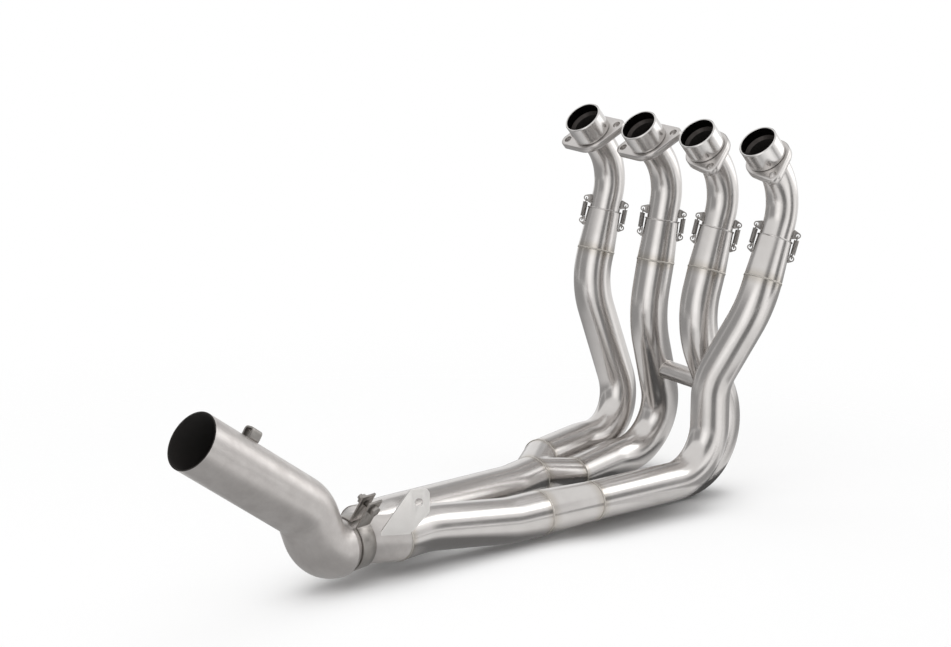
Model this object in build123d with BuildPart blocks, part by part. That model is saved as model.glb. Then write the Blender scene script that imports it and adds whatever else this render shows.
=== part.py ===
"""Exhaust header of an inline four: four primaries, two merges, two secondaries and one outlet.

Millimetres. +X is the front of the bike, +Y its left side, +Z up. The header stands on the
lower runs of its two inner primaries. Cylinder 1 is on the left.
"""

import os
from math import atan2, cos, radians, sin, tan

from build123d import *

UP = Vector(0, 0, 1)

# Inlets at the cylinder head, where the mouths face up and to the rear. Tuples of four go from
# cylinder 1 to cylinder 4.
PORT_PITCH = 87.0
INLET_HEIGHT = 401.0
INLET_TILT = 48.5

# Upper primaries, held in turned collars
UPPER_OD = 35.0
TUBE_WALL = 1.2
INLET_RUN = 79.0
UPPER_BEND_RADIUS = 62.0
UPPER_LEAN = (16.5, 12.5, 19.0, 23.0)
COLLAR_OD = 43.0
COLLAR_LENGTH = 24.0
COLLAR_SEAT_DEPTH = 10.0
COLLAR_MOUTH_CHAMFER = 0.8
COLLAR_WALL = 2.0
COLLAR_STEP = 3.0
WELD_GAP = 0.1

# Loose two-bolt flanges behind the collars, as they lie in their turn
FLANGE_THICKNESS = 8.0
FLANGE_CLEARANCE = 0.4
FLANGE_BODY_RADIUS = 25.5
FLANGE_EAR_RADIUS = 8.5
FLANGE_STUD_SPACING = 62.0
FLANGE_STUD_HOLE = 8.6
FLANGE_EDGE = 0.8
FLANGE_TURN = (-29.0, -29.0, 47.0, 45.0)

# Slip joints between upper and lower primaries
SLIP_DISTANCE = 52.5
SOCKET_LENGTH = 47.0
SOCKET_GRIP = 26.0
SOCKET_LIP = 0.9
SLIP_CLEARANCE = 0.15

# Lower primaries: corner points below the slip joint. A bend takes a share of the shorter run beside it.
LOWER_OD = 42.0
FIRST_CORNER = (138.5, 162.5, 161.5, 129.5)
LEFT_FRONT_CORNER = (56.0, 101.0)
INNER_FRONT_CORNER = (76.0, 60.0)
STEP_CORNER = (-24.0, -92.0)
STEP_HEIGHT_SHARE = 0.342
LAST_RUN = (88.0, 88.0, 267.0, 171.0)
BEND_SHARES = ((0.765, 0.81, 0.124), (0.515, 0.832, 0.129), (0.647, 0.527), (0.782, 0.181, 0.55))

# Pairs of primaries side by side, the outer tube higher than the inner one
PAIR_GAP = 1.6
PAIR_TILT = 20.0
LEFT_MERGE = (-110.0, 58.0)
RIGHT_MERGE = (-198.0, -65.0)
LEFT_YAW = 15.3
RIGHT_YAW = -3.0
MERGE_LENGTH = 55.0

# Secondaries and the last collector
SECONDARY_OD = 48.0
SECONDARY_BEND_RADIUS = 150.0
SECONDARY_END_RUN = 45.0
COLLECTOR_CENTRE = (-454.0, -34.8, 41.0)
COLLECTOR_YAW = 8.0
COLLECTOR_GAP = 2.0
COLLECTOR_LENGTH = 30.0
COLLECTOR_WALL = 1.5
SPIGOT_OD = 50.0
SPIGOT_LENGTH = 19.0

# Link pipe with its socket over the spigot
LINK_OD = 61.0
LINK_WALL = 1.5
LINK_SOCKET_GAP = 0.5
LINK_SOCKET_LENGTH = 21.0
LINK_FLARE_LENGTH = 8.5
LINK_FIRST_RUN = 23.5
LINK_RISE_RUN = 49.3
LINK_RISE_ANGLE = 69.1
LINK_LAST_RUN = 163.6
LINK_LAST_ANGLE = 34.3
LINK_BEND_RADII = (32.0, 34.0)

# Band clamp round the socket
BAND_WIDTH = 19.0
BAND_THICKNESS = 1.5
BAND_CLEARANCE = 0.1
BAND_SPLIT = 8.0
EAR_TURN = -32.0
EAR_HEIGHT = 31.0
EAR_THICKNESS = 2.0
CLAMP_BOLT_D = 6.0
CLAMP_BOLT_CLEARANCE = 0.3
CLAMP_BOLT_DROP = 9.0
BOLT_HEAD_AF = 10.0
BOLT_HEAD_HEIGHT = 5.0
BOLT_OVERRUN = 3.0

# Bracket plate that stands along the flank of the collector
BRACKET_THICKNESS = 3.0
BRACKET_HOLE_D = 8.4
BRACKET_SETBACK = 26.0
BRACKET_HEAD_FORWARD = 41.0
BRACKET_HEAD_LIFT = 16.0
BRACKET_HEAD_SIZE = (22.0, 26.0)
BRACKET_HEAD_CORNER = 5.0
BRACKET_FOOT_LENGTH = 26.0
BRACKET_FOOT_START = 3.0
BRACKET_FOOT_SHARE = 0.5
BRACKET_SEAT = 0.05
BRACKET_CLEARANCE = 1.0

# Spring hooks and springs across the slip joints
HOOK_REACH = 23.0
HOOK_THICKNESS = 1.8
HOOK_HEAD_RADIUS = 3.2
HOOK_HOLE_RADIUS = 1.9
HOOK_FOOT_LENGTH = 10.0
HOOK_FOOT_HEIGHT = 1.0
HOOK_SEAT = 0.05
UPPER_HOOK_SETBACK = 9.0
LOWER_HOOK_SETBACK = 17.0
HOOK_ANGLES = (-45.0, 135.0)
SPRING_OD = 5.8
SPRING_ID = 3.2
SPRING_WIRE = 1.3
EYE_RADIUS = 2.6

# Crossover between the inner primaries
CROSSOVER_OD = 21.0
CROSSOVER_HEIGHTS = (122.0, 117.0)
CROSSOVER_SEAT = 0.1

# Strap hook near the outlet, for the silencer's spring
STRAP_FROM_MOUTH = 62.0
STRAP_WIDTH = 13.0
STRAP_HEIGHT = 9.0
STRAP_LENGTH = 13.0
STRAP_THICKNESS = 2.0
STRAP_SEAT = 0.05

pieces = {}


def keep(part, label):
    """Label a finished piece and set it aside for export."""
    part.label = label
    pieces[label] = part


def across(point, heading):
    """Plane across a run, with its normal along the run and its y axis upwards."""
    return Plane(origin=point, x_dir=UP.cross(heading), z_dir=heading)


def turned_about_normal(plane, angle):
    """The same plane with its x axis turned round its normal by an angle in degrees."""
    x_dir = plane.x_dir * cos(radians(angle)) + plane.y_dir * sin(radians(angle))
    return Plane(origin=plane.origin, x_dir=x_dir, z_dir=plane.z_dir)


def level_heading(yaw):
    """Rearward level direction, turned towards the right of the bike by yaw degrees."""
    return Vector(-cos(radians(yaw)), -sin(radians(yaw)), 0)


def bent_tube(points, radii, outer_diameter, wall):
    """Tube along straight runs with a bend at each corner point."""
    with BuildPart() as tube:
        with BuildLine() as route:
            FilletPolyline(*points, radius=radii)
        with BuildSketch(Plane(origin=route.line @ 0, z_dir=route.line % 0)):
            Circle(outer_diameter / 2)
            Circle(outer_diameter / 2 - wall, mode=Mode.SUBTRACT)
        sweep()
    return tube.part


def bent_bar(points, radii, diameter):
    """Solid bar along the same kind of route, for cutting seats."""
    with BuildPart() as bar:
        with BuildLine() as route:
            FilletPolyline(*points, radius=radii)
        with BuildSketch(Plane(origin=route.line @ 0, z_dir=route.line % 0)):
            Circle(diameter / 2)
        sweep()
    return bar.part


def turned(station, outline):
    """Piece turned round the station's normal from (radius, distance along the normal) points."""
    with BuildPart() as piece:
        with BuildSketch(Plane(origin=station.origin, x_dir=station.x_dir, z_dir=-station.y_dir)):
            Polygon(*outline, align=None)
        revolve(axis=Axis(station.origin, station.z_dir))
    return piece.part


def joined_cones(station, offsets, inlet_radius, outlet_radius, length):
    """Solid form of cones from several inlets that run together into one outlet."""
    with BuildPart() as cones:
        for offset in offsets:
            with BuildSketch(station):
                with Locations(offset):
                    Circle(inlet_radius)
            with BuildSketch(station.offset(length)):
                Circle(outlet_radius)
            loft()
    return cones.part


def merging_shell(station, offsets, inlet_radius, outlet_radius, length, wall):
    """The same form as a shell of even wall, open at its ends."""
    with BuildPart() as shell:
        add(joined_cones(station, offsets, inlet_radius, outlet_radius, length))
        for offset in offsets:
            bore = joined_cones(station, (offset,), inlet_radius - wall, outlet_radius - wall, length)
            add(bore, mode=Mode.SUBTRACT)
    return shell.part


def bend_radii(points, shares):
    """Radius of each bend, from the share of the shorter run beside it that the bend takes up."""
    runs = [end - start for start, end in zip(points, points[1:])]
    radii = []
    for before, after, share in zip(runs, runs[1:], shares):
        half_turn = radians(before.get_angle(after)) / 2
        radii.append(share * min(before.length, after.length) / tan(half_turn))
    return radii


def port_y(cylinder):
    """Distance of a port from the bike's middle plane, left side positive, counted from 0 at the left."""
    return PORT_PITCH * ((len(UPPER_LEAN) - 1) / 2 - cylinder)


def point_at_height(start, end, height):
    """Point at a height on the straight line between two points."""
    return start + (end - start) * ((start.Z - height) / (start.Z - end.Z))


def spring_hook(station, angle, foot_radius, along):
    """Welded hook plate that stands out from a tube, with a hole for the spring's eye."""
    radial = (station.x_dir * cos(radians(angle)) + station.y_dir * sin(radians(angle))).normalized()
    face = Plane(
        origin=station.origin + station.z_dir * along, x_dir=radial, z_dir=radial.cross(station.z_dir),
    )
    with BuildPart() as hook:
        with BuildSketch(face):
            with Locations((HOOK_REACH, 0)):
                Circle(HOOK_HEAD_RADIUS)
            with Locations((foot_radius + HOOK_FOOT_HEIGHT / 2, 0)):
                Rectangle(HOOK_FOOT_HEIGHT, HOOK_FOOT_LENGTH)
            make_hull()
            with Locations((HOOK_REACH, 0)):
                Circle(HOOK_HOLE_RADIUS, mode=Mode.SUBTRACT)
        extrude(amount=HOOK_THICKNESS / 2, both=True)
    return hook.part


def tension_spring(station, angle, start, end):
    """Close-wound spring with a flat eye at each end, between two hook holes."""
    radial = (station.x_dir * cos(radians(angle)) + station.y_dir * sin(radians(angle))).normalized()
    line = station.origin + radial * HOOK_REACH
    body_inset = 2 * EYE_RADIUS
    body = Plane(origin=line + station.z_dir * (start + body_inset), x_dir=radial, z_dir=station.z_dir)
    with BuildPart() as spring:
        with BuildSketch(body):
            Circle(SPRING_OD / 2)
            Circle(SPRING_ID / 2, mode=Mode.SUBTRACT)
        extrude(amount=end - start - 2 * body_inset)
        for along in (start + EYE_RADIUS, end - EYE_RADIUS):
            eye = Plane(origin=line + station.z_dir * along, x_dir=station.z_dir, z_dir=radial)
            with BuildSketch(eye):
                Circle(EYE_RADIUS + SPRING_WIRE / 2)
                Circle(EYE_RADIUS - SPRING_WIRE / 2, mode=Mode.SUBTRACT)
            extrude(amount=SPRING_WIRE / 2, both=True)
    return spring.part


# Inlet axes and the straight runs that hold the slip joints
cylinders = range(len(UPPER_LEAN))
inlet_axis = Vector(cos(radians(INLET_TILT)), 0, -sin(radians(INLET_TILT)))
mouth = {n: Vector(0, port_y(n), INLET_HEIGHT) for n in cylinders}
elbow = {n: mouth[n] + inlet_axis * INLET_RUN for n in cylinders}
lean = {n: Vector(-sin(radians(UPPER_LEAN[n])), 0, -cos(radians(UPPER_LEAN[n]))) for n in cylinders}
slip = {n: across(elbow[n] + lean[n] * SLIP_DISTANCE, lean[n]) for n in cylinders}

collar_seat = COLLAR_LENGTH - COLLAR_SEAT_DEPTH
collar_mouth = COLLAR_OD / 2 - COLLAR_WALL
upper_radius = UPPER_OD / 2
collar_bore = upper_radius - TUBE_WALL
lower_radius = LOWER_OD / 2
socket_mouth_radius = upper_radius + SLIP_CLEARANCE + TUBE_WALL

for n in cylinders:
    inlet = across(mouth[n], inlet_axis)
    keep(turned(inlet, (
        (collar_mouth, 0),
        (COLLAR_OD / 2 - COLLAR_MOUTH_CHAMFER, 0),
        (COLLAR_OD / 2, COLLAR_MOUTH_CHAMFER),
        (COLLAR_OD / 2, COLLAR_LENGTH),
        (upper_radius + WELD_GAP, COLLAR_LENGTH),
        (upper_radius + WELD_GAP, collar_seat),
        (collar_bore, collar_seat),
        (collar_mouth, collar_seat - COLLAR_STEP),
    )), f"inlet_collar_{n + 1}")

    flange_face = turned_about_normal(inlet.offset(COLLAR_LENGTH + FLANGE_CLEARANCE), FLANGE_TURN[n])
    with BuildPart() as flange:
        with BuildSketch(flange_face):
            Circle(FLANGE_BODY_RADIUS)
            with GridLocations(FLANGE_STUD_SPACING, 0, 2, 1):
                Circle(FLANGE_EAR_RADIUS)
            make_hull()
            Circle(upper_radius + FLANGE_CLEARANCE, mode=Mode.SUBTRACT)
            with GridLocations(FLANGE_STUD_SPACING, 0, 2, 1):
                Circle(FLANGE_STUD_HOLE / 2, mode=Mode.SUBTRACT)
        extrude(amount=FLANGE_THICKNESS)
        rims = flange.faces().filter_by(GeomType.PLANE).sort_by(SortBy.AREA)[-2:]
        chamfer([face.outer_wire().edges() for face in rims], length=FLANGE_EDGE)
    keep(flange.part, f"inlet_flange_{n + 1}")

    upper_end = elbow[n] + lean[n] * (SLIP_DISTANCE + SOCKET_GRIP)
    upper_points = (mouth[n] + inlet_axis * collar_seat, elbow[n], upper_end)
    keep(bent_tube(upper_points, UPPER_BEND_RADIUS, UPPER_OD, TUBE_WALL), f"upper_primary_{n + 1}")

    keep(turned(slip[n], (
        (upper_radius + SLIP_CLEARANCE, 0),
        (socket_mouth_radius + SOCKET_LIP, 0),
        (socket_mouth_radius, 2 * SOCKET_LIP),
        (lower_radius, SOCKET_LENGTH),
        (lower_radius - TUBE_WALL, SOCKET_LENGTH),
        (upper_radius + SLIP_CLEARANCE, SOCKET_GRIP),
    )), f"slip_socket_{n + 1}")

# Merge collectors, each taking an outer and an inner primary
pair_half = Vector(cos(radians(PAIR_TILT)), sin(radians(PAIR_TILT))) * ((LOWER_OD + PAIR_GAP) / 2)
pair_height = lower_radius + pair_half.Y
left_heading = level_heading(LEFT_YAW)
right_heading = level_heading(RIGHT_YAW)
left_merge = across(Vector(*LEFT_MERGE, pair_height), left_heading)
right_merge = across(Vector(*RIGHT_MERGE, pair_height), right_heading)
left_offsets = ((-pair_half.X, pair_half.Y), (pair_half.X, -pair_half.Y))
right_offsets = ((-pair_half.X, -pair_half.Y), (pair_half.X, pair_half.Y))

for side, station, offsets in (("left", left_merge, left_offsets), ("right", right_merge, right_offsets)):
    keep(
        merging_shell(station, offsets, lower_radius, SECONDARY_OD / 2, MERGE_LENGTH, TUBE_WALL),
        f"merge_collector_{side}",
    )

# Lower primaries, from the slip sockets to the merge collectors
merge_inlet = [left_merge.from_local_coords(offset) for offset in left_offsets]
merge_inlet += [right_merge.from_local_coords(offset) for offset in right_offsets]
merge_heading = (left_heading, left_heading, right_heading, right_heading)
middle_corners = (
    [Vector(*LEFT_FRONT_CORNER, merge_inlet[0].Z)],
    [Vector(*INNER_FRONT_CORNER, merge_inlet[1].Z)],
    [],
    [Vector(*STEP_CORNER, STEP_HEIGHT_SHARE * INLET_HEIGHT)],
)
lower_points, lower_radii = [], []
for n in cylinders:
    start = elbow[n] + lean[n] * (SLIP_DISTANCE + SOCKET_LENGTH)
    first_corner = elbow[n] + lean[n] * FIRST_CORNER[n]
    last_corner = merge_inlet[n] - merge_heading[n] * LAST_RUN[n]
    points = [start, first_corner, *middle_corners[n], last_corner, merge_inlet[n]]
    lower_points.append(points)
    lower_radii.append(bend_radii(points, BEND_SHARES[n]))
    keep(bent_tube(points, lower_radii[n], LOWER_OD, TUBE_WALL), f"lower_primary_{n + 1}")

# Crossover from one inner primary to the other, its ends cut to their walls
crossover_start = point_at_height(*lower_points[1][1:3], CROSSOVER_HEIGHTS[0])
crossover_end = point_at_height(*lower_points[2][1:3], CROSSOVER_HEIGHTS[1])
crossover_heading = (crossover_end - crossover_start).normalized()
inner_primaries = zip(lower_points[1:3], lower_radii[1:3])
seats = [bent_bar(*route, LOWER_OD + 2 * CROSSOVER_SEAT) for route in inner_primaries]
with BuildPart() as crossover:
    with BuildSketch(across(crossover_start, crossover_heading)):
        Circle(CROSSOVER_OD / 2)
        Circle(CROSSOVER_OD / 2 - TUBE_WALL, mode=Mode.SUBTRACT)
    extrude(amount=(crossover_end - crossover_start).length)
    add(seats, mode=Mode.SUBTRACT)
keep(crossover.part, "crossover_tube")

# Last collector, in which the two secondaries run together into a spigot
collector_heading = level_heading(COLLECTOR_YAW)
collector = across(Vector(*COLLECTOR_CENTRE), collector_heading)
collector_half = (SECONDARY_OD + COLLECTOR_GAP) / 2
collector_offsets = ((-collector_half, 0), (collector_half, 0))
spigot_start = collector.offset(COLLECTOR_LENGTH)
spigot_radius = SPIGOT_OD / 2
with BuildPart() as last_collector:
    add(merging_shell(
        collector, collector_offsets, SECONDARY_OD / 2, spigot_radius, COLLECTOR_LENGTH, COLLECTOR_WALL,
    ))
    with BuildSketch(spigot_start):
        Circle(spigot_radius)
        Circle(spigot_radius - COLLECTOR_WALL, mode=Mode.SUBTRACT)
    extrude(amount=SPIGOT_LENGTH)
keep(last_collector.part, "final_collector")

# Secondaries, straight out of each merge and straight into the collector
secondary_points = {}
for side, station, offset in (
    ("left", left_merge, collector_offsets[0]),
    ("right", right_merge, collector_offsets[1]),
):
    start = station.offset(MERGE_LENGTH).origin
    end = collector.from_local_coords(offset)
    corners = (start + station.z_dir * SECONDARY_END_RUN, end - collector_heading * SECONDARY_END_RUN)
    secondary_points[side] = (start, *corners, end)
    keep(
        bent_tube(secondary_points[side], SECONDARY_BEND_RADIUS, SECONDARY_OD, TUBE_WALL),
        f"secondary_tube_{side}",
    )

# Link pipe: socket over the spigot, flare, swan neck and straight outlet
socket_inner = spigot_radius + SLIP_CLEARANCE
socket_outer = socket_inner + LINK_WALL
link_radius = LINK_OD / 2
link_socket = spigot_start.offset(LINK_SOCKET_GAP)
flare_end = LINK_SOCKET_LENGTH + LINK_FLARE_LENGTH
link_start = link_socket.offset(flare_end).origin
rise = Vector(-cos(radians(LINK_RISE_ANGLE)), 0, sin(radians(LINK_RISE_ANGLE)))
link_axis = Vector(-cos(radians(LINK_LAST_ANGLE)), 0, sin(radians(LINK_LAST_ANGLE)))
neck_low = link_start + collector_heading * LINK_FIRST_RUN
neck_high = neck_low + rise * LINK_RISE_RUN
outlet = neck_high + link_axis * LINK_LAST_RUN
with BuildPart() as link_pipe:
    add(turned(link_socket, (
        (socket_inner, 0),
        (socket_outer, 0),
        (socket_outer, LINK_SOCKET_LENGTH),
        (link_radius, flare_end),
        (link_radius - LINK_WALL, flare_end),
        (socket_inner, LINK_SOCKET_LENGTH),
    )))
    add(bent_tube((link_start, neck_low, neck_high, outlet), LINK_BEND_RADII, LINK_OD, LINK_WALL))
keep(link_pipe.part, "link_pipe")

# Strap hook that arches over the top of the link pipe
strap_plane = across(outlet - link_axis * STRAP_FROM_MOUTH, link_axis)
strap_opening = STRAP_WIDTH - 2 * STRAP_THICKNESS
with BuildPart() as strap:
    with BuildSketch(strap_plane):
        with Locations((0, link_radius + STRAP_HEIGHT / 2)):
            RectangleRounded(STRAP_WIDTH, STRAP_HEIGHT + 2 * STRAP_THICKNESS, 2 * STRAP_THICKNESS)
            RectangleRounded(strap_opening, STRAP_HEIGHT, STRAP_THICKNESS, mode=Mode.SUBTRACT)
        Circle(link_radius + STRAP_SEAT, mode=Mode.SUBTRACT)
    extrude(amount=STRAP_LENGTH / 2, both=True)
keep(strap.part, "strap_hook")

# Band clamp with two ears, drawn together by a bolt across the split
band_inner = socket_outer + BAND_CLEARANCE
band_outer = band_inner + BAND_THICKNESS
band_start = turned_about_normal(link_socket.offset((LINK_SOCKET_LENGTH - BAND_WIDTH) / 2), EAR_TURN)
ear_centre = BAND_SPLIT / 2 + EAR_THICKNESS / 2
ear_top = band_outer + EAR_HEIGHT
bolt_height = ear_top - CLAMP_BOLT_DROP
band_middle = band_start.offset(BAND_WIDTH / 2)
bolt_plane = Plane(
    origin=band_middle.from_local_coords((0, bolt_height)), x_dir=band_middle.y_dir, z_dir=band_middle.x_dir,
)
ear_outside = BAND_SPLIT / 2 + EAR_THICKNESS
with BuildPart() as clamp_band:
    with BuildSketch(band_start):
        Circle(band_outer)
        with Locations((-ear_centre, (band_inner + ear_top) / 2), (ear_centre, (band_inner + ear_top) / 2)):
            Rectangle(EAR_THICKNESS, ear_top - band_inner)
        Circle(band_inner, mode=Mode.SUBTRACT)
        with Locations((0, band_outer)):
            Rectangle(BAND_SPLIT, 2 * BAND_THICKNESS + EAR_THICKNESS, mode=Mode.SUBTRACT)
    extrude(amount=BAND_WIDTH)
    with BuildSketch(bolt_plane):
        Circle(CLAMP_BOLT_D / 2 + CLAMP_BOLT_CLEARANCE)
    extrude(amount=2 * ear_outside, both=True, mode=Mode.SUBTRACT)
keep(clamp_band.part, "clamp_band")

with BuildPart() as clamp_bolt:
    with BuildSketch(bolt_plane.offset(ear_outside)):
        RegularPolygon(BOLT_HEAD_AF / 2, 6, major_radius=False)
    extrude(amount=BOLT_HEAD_HEIGHT)
    with BuildSketch(bolt_plane.offset(ear_outside)):
        Circle(CLAMP_BOLT_D / 2)
    extrude(amount=-(2 * ear_outside + BOLT_HEAD_HEIGHT + BOLT_OVERRUN))
keep(clamp_bolt.part, "clamp_bolt")

with BuildPart() as clamp_nut:
    with BuildSketch(bolt_plane.offset(-ear_outside)):
        RegularPolygon(BOLT_HEAD_AF / 2, 6, major_radius=False)
        Circle(CLAMP_BOLT_D / 2 + WELD_GAP, mode=Mode.SUBTRACT)
    extrude(amount=-BOLT_HEAD_HEIGHT)
keep(clamp_nut.part, "clamp_nut")

# Bracket plate along the flank of the collector's right cone, its foot cut to the cone
flank_yaw = atan2(collector_half + SECONDARY_OD / 2 - spigot_radius, COLLECTOR_LENGTH)
bracket_run = collector.x_dir * sin(flank_yaw) - collector_heading * cos(flank_yaw)
bracket_plane = Plane(
    origin=collector.from_local_coords((collector_half, 0, BRACKET_SETBACK)),
    x_dir=bracket_run,
    z_dir=bracket_run.cross(UP),
)
bracket_head = (BRACKET_HEAD_FORWARD, SECONDARY_OD / 2 + BRACKET_HEAD_LIFT)
bracket_hole = bracket_plane.from_local_coords(bracket_head)
foot_height = BRACKET_FOOT_SHARE * SECONDARY_OD / 2
collector_form = joined_cones(
    collector,
    collector_offsets,
    SECONDARY_OD / 2 + BRACKET_SEAT,
    spigot_radius + BRACKET_SEAT,
    COLLECTOR_LENGTH,
)
secondary_form = bent_bar(
    secondary_points["right"], SECONDARY_BEND_RADIUS, SECONDARY_OD + 2 * BRACKET_CLEARANCE,
)
with BuildPart() as bracket:
    with BuildSketch(bracket_plane):
        with Locations(bracket_head):
            RectangleRounded(*BRACKET_HEAD_SIZE, BRACKET_HEAD_CORNER)
        with Locations((BRACKET_FOOT_START + BRACKET_FOOT_LENGTH / 2, foot_height * 2 / 3)):
            Rectangle(BRACKET_FOOT_LENGTH, foot_height * 2 / 3)
        make_hull()
        with Locations(bracket_head):
            Circle(BRACKET_HOLE_D / 2, mode=Mode.SUBTRACT)
    extrude(amount=BRACKET_THICKNESS / 2, both=True)
    add((collector_form, secondary_form), mode=Mode.SUBTRACT)
keep(bracket.part, "bracket_plate")

# Hooks and springs, two across each slip joint
socket_flare = (lower_radius - socket_mouth_radius) / SOCKET_LENGTH
lower_foot = socket_mouth_radius + socket_flare * (LOWER_HOOK_SETBACK + HOOK_FOOT_LENGTH / 2) + HOOK_SEAT
for n in cylinders:
    with BuildPart() as hooks:
        for angle in HOOK_ANGLES:
            add(spring_hook(slip[n], angle, upper_radius + HOOK_SEAT, -UPPER_HOOK_SETBACK))
            add(spring_hook(slip[n], angle, lower_foot, LOWER_HOOK_SETBACK))
    keep(hooks.part, f"spring_hooks_{n + 1}")
    with BuildPart() as springs:
        for angle in HOOK_ANGLES:
            add(tension_spring(slip[n], angle, -UPPER_HOOK_SETBACK, LOWER_HOOK_SETBACK))
    keep(springs.part, f"slip_springs_{n + 1}")

# The frame's origin is on the floor, under the middle of the header
boxes = [piece.bounding_box() for piece in pieces.values()]
rear, front = min(box.min.X for box in boxes), max(box.max.X for box in boxes)
right, left = min(box.min.Y for box in boxes), max(box.max.Y for box in boxes)
floor = min(box.min.Z for box in boxes)
to_floor = Location((-(rear + front) / 2, -(right + left) / 2, -floor))
os.makedirs("parts", exist_ok=True)
for label, piece in pieces.items():
    placed = piece.moved(to_floor)
    placed.label = label
    export_step(placed, f"parts/{label}.step")
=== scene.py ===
"""Exhaust header of an inline four, dressed in satin, turned and bead-blasted stainless steel.

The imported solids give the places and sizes. The tubes are swept again along the same routes with smooth
walls, the turned and merging pieces get finer meshes, and welds and wound springs are added. Sizes are in
millimetres until a mesh is made, and in metres after that.
"""

import logging
import math
from dataclasses import dataclass, replace
from enum import Enum
from functools import partial
from typing import Any, Callable, Optional, Sequence

import bmesh
import bpy
import numpy as np
from mathutils import Matrix, Vector


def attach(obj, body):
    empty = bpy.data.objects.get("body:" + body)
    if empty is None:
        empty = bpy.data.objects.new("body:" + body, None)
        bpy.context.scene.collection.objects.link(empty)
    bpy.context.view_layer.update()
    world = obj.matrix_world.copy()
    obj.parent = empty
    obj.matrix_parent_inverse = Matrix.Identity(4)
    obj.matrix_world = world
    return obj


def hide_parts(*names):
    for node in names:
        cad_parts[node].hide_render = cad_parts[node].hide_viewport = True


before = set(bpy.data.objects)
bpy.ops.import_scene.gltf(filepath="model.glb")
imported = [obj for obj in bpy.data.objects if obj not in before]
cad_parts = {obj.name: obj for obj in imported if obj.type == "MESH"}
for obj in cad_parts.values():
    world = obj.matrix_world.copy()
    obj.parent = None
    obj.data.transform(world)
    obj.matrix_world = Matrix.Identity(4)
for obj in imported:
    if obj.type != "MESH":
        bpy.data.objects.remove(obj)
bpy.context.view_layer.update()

log = logging.getLogger("header")
Point = tuple[float, float, float]
Pair = tuple[float, float]
Tree = bpy.types.NodeTree
Material = bpy.types.Material
Mesh = bpy.types.Mesh
Piece = bpy.types.Object
Socket = bpy.types.NodeSocket
Adder = Callable[..., bpy.types.Node]

MM = 0.001
UP = Vector((0.0, 0.0, 1.0))
WHITE = (1.0, 1.0, 1.0, 1.0)
HEADER_BODY = "header"
# Distance from a weld that counts as none, the distances between which its tint fades, and the tint's share
NO_WELD = 100.0
HEAT_REACH = (1.0, 11.0)
HEAT_STRENGTH = 0.5
# Values of a finish's noise that its roughness is spread over, and the share of the lines in it
NOISE_RANGE = (0.3, 0.7)
LINE_SHARE = 0.6
BUMP_STRENGTH = 0.6
# Colour inputs and output of a Mix node, which share their names with the node's other sockets
MIX_A, MIX_B, MIX_OUT = 6, 7, 2
# Float inputs and output of a Random Value node, for the same reason
RANDOM_MIN, RANDOM_MAX, RANDOM_OUT = 2, 3, 1
# Degrees past which an edge is shaded hard
TURNED_CREASE = 30.0
PLATE_CREASE = 32.0
MERGE_CREASE = 50.0
# Degrees past which an edge is broken, and below which two faces are one
SHARP_ANGLE = 50.0
FLAT_ANGLE = 1.0
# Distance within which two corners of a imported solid's triangles are one point
SAME_SPOT = 0.004
# Distance past a tube's outside within which an open edge belongs to its end
END_MARGIN = 1.0
# Shares of a merge's plain end at which its rings of vertices lie
SPIGOT_SHARES = np.linspace(0.1, 1.0, 6)


class Lay(Enum):
    """What the polishing lines of a finish follow."""

    ROUND_THE_TUBE = "round"
    ALONG_THE_TUBE = "along"
    NO_DIRECTION = "none"


class Slot(Enum):
    """Material slots of the record."""

    TUBE = "tube_steel"
    TURNED = "turned_steel"
    BLASTED = "blasted_steel"
    SPRING = "spring_steel"
    CLAMP = "clamp_steel"


def linear(hex_colour: str) -> tuple[float, float, float, float]:
    """Turn an sRGB hex colour into linear values.

    Args:
        hex_colour: Six hex digits after a hash sign.

    Returns:
        Red, green, blue and an alpha of 1.
    """
    parts = [int(hex_colour[i:i + 2], 16) / 255 for i in (1, 3, 5)]
    r, g, b = (c / 12.92 if c <= 0.04045 else ((c + 0.055) / 1.055) ** 2.4 for c in parts)
    return (r, g, b, 1.0)


def add_node(tree: Tree, kind: str, given: Optional[dict[Any, Any]] = None) -> bpy.types.Node:
    """Add a node, set its properties and sockets, and link what feeds it.

    Args:
        tree: Tree that takes the node.
        kind: Blender's identifier of the node.
        given: Values by property name, in lower case, or by input name or number. An output socket is
            linked, and so is the first output of a node.

    Returns:
        The new node.
    """
    node = tree.nodes.new(kind)
    given = given or {}
    properties = [key for key in given if isinstance(key, str) and key[0].islower()]
    for key in properties:
        setattr(node, key, given[key])
    for key, value in given.items():
        if key in properties:
            continue
        if isinstance(value, bpy.types.Node):
            value = value.outputs[0]
        if isinstance(value, Socket):
            tree.links.new(value, node.inputs[key])
        else:
            node.inputs[key].default_value = value
    return node


def new_material(name: str) -> tuple[Material, Adder]:
    """Start a node material.

    Args:
        name: Name of the material.

    Returns:
        The material, and add_node bound to its empty tree.
    """
    material = bpy.data.materials.new(name)
    material.use_nodes = True
    material.node_tree.nodes.clear()
    return material, partial(add_node, material.node_tree)


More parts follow.
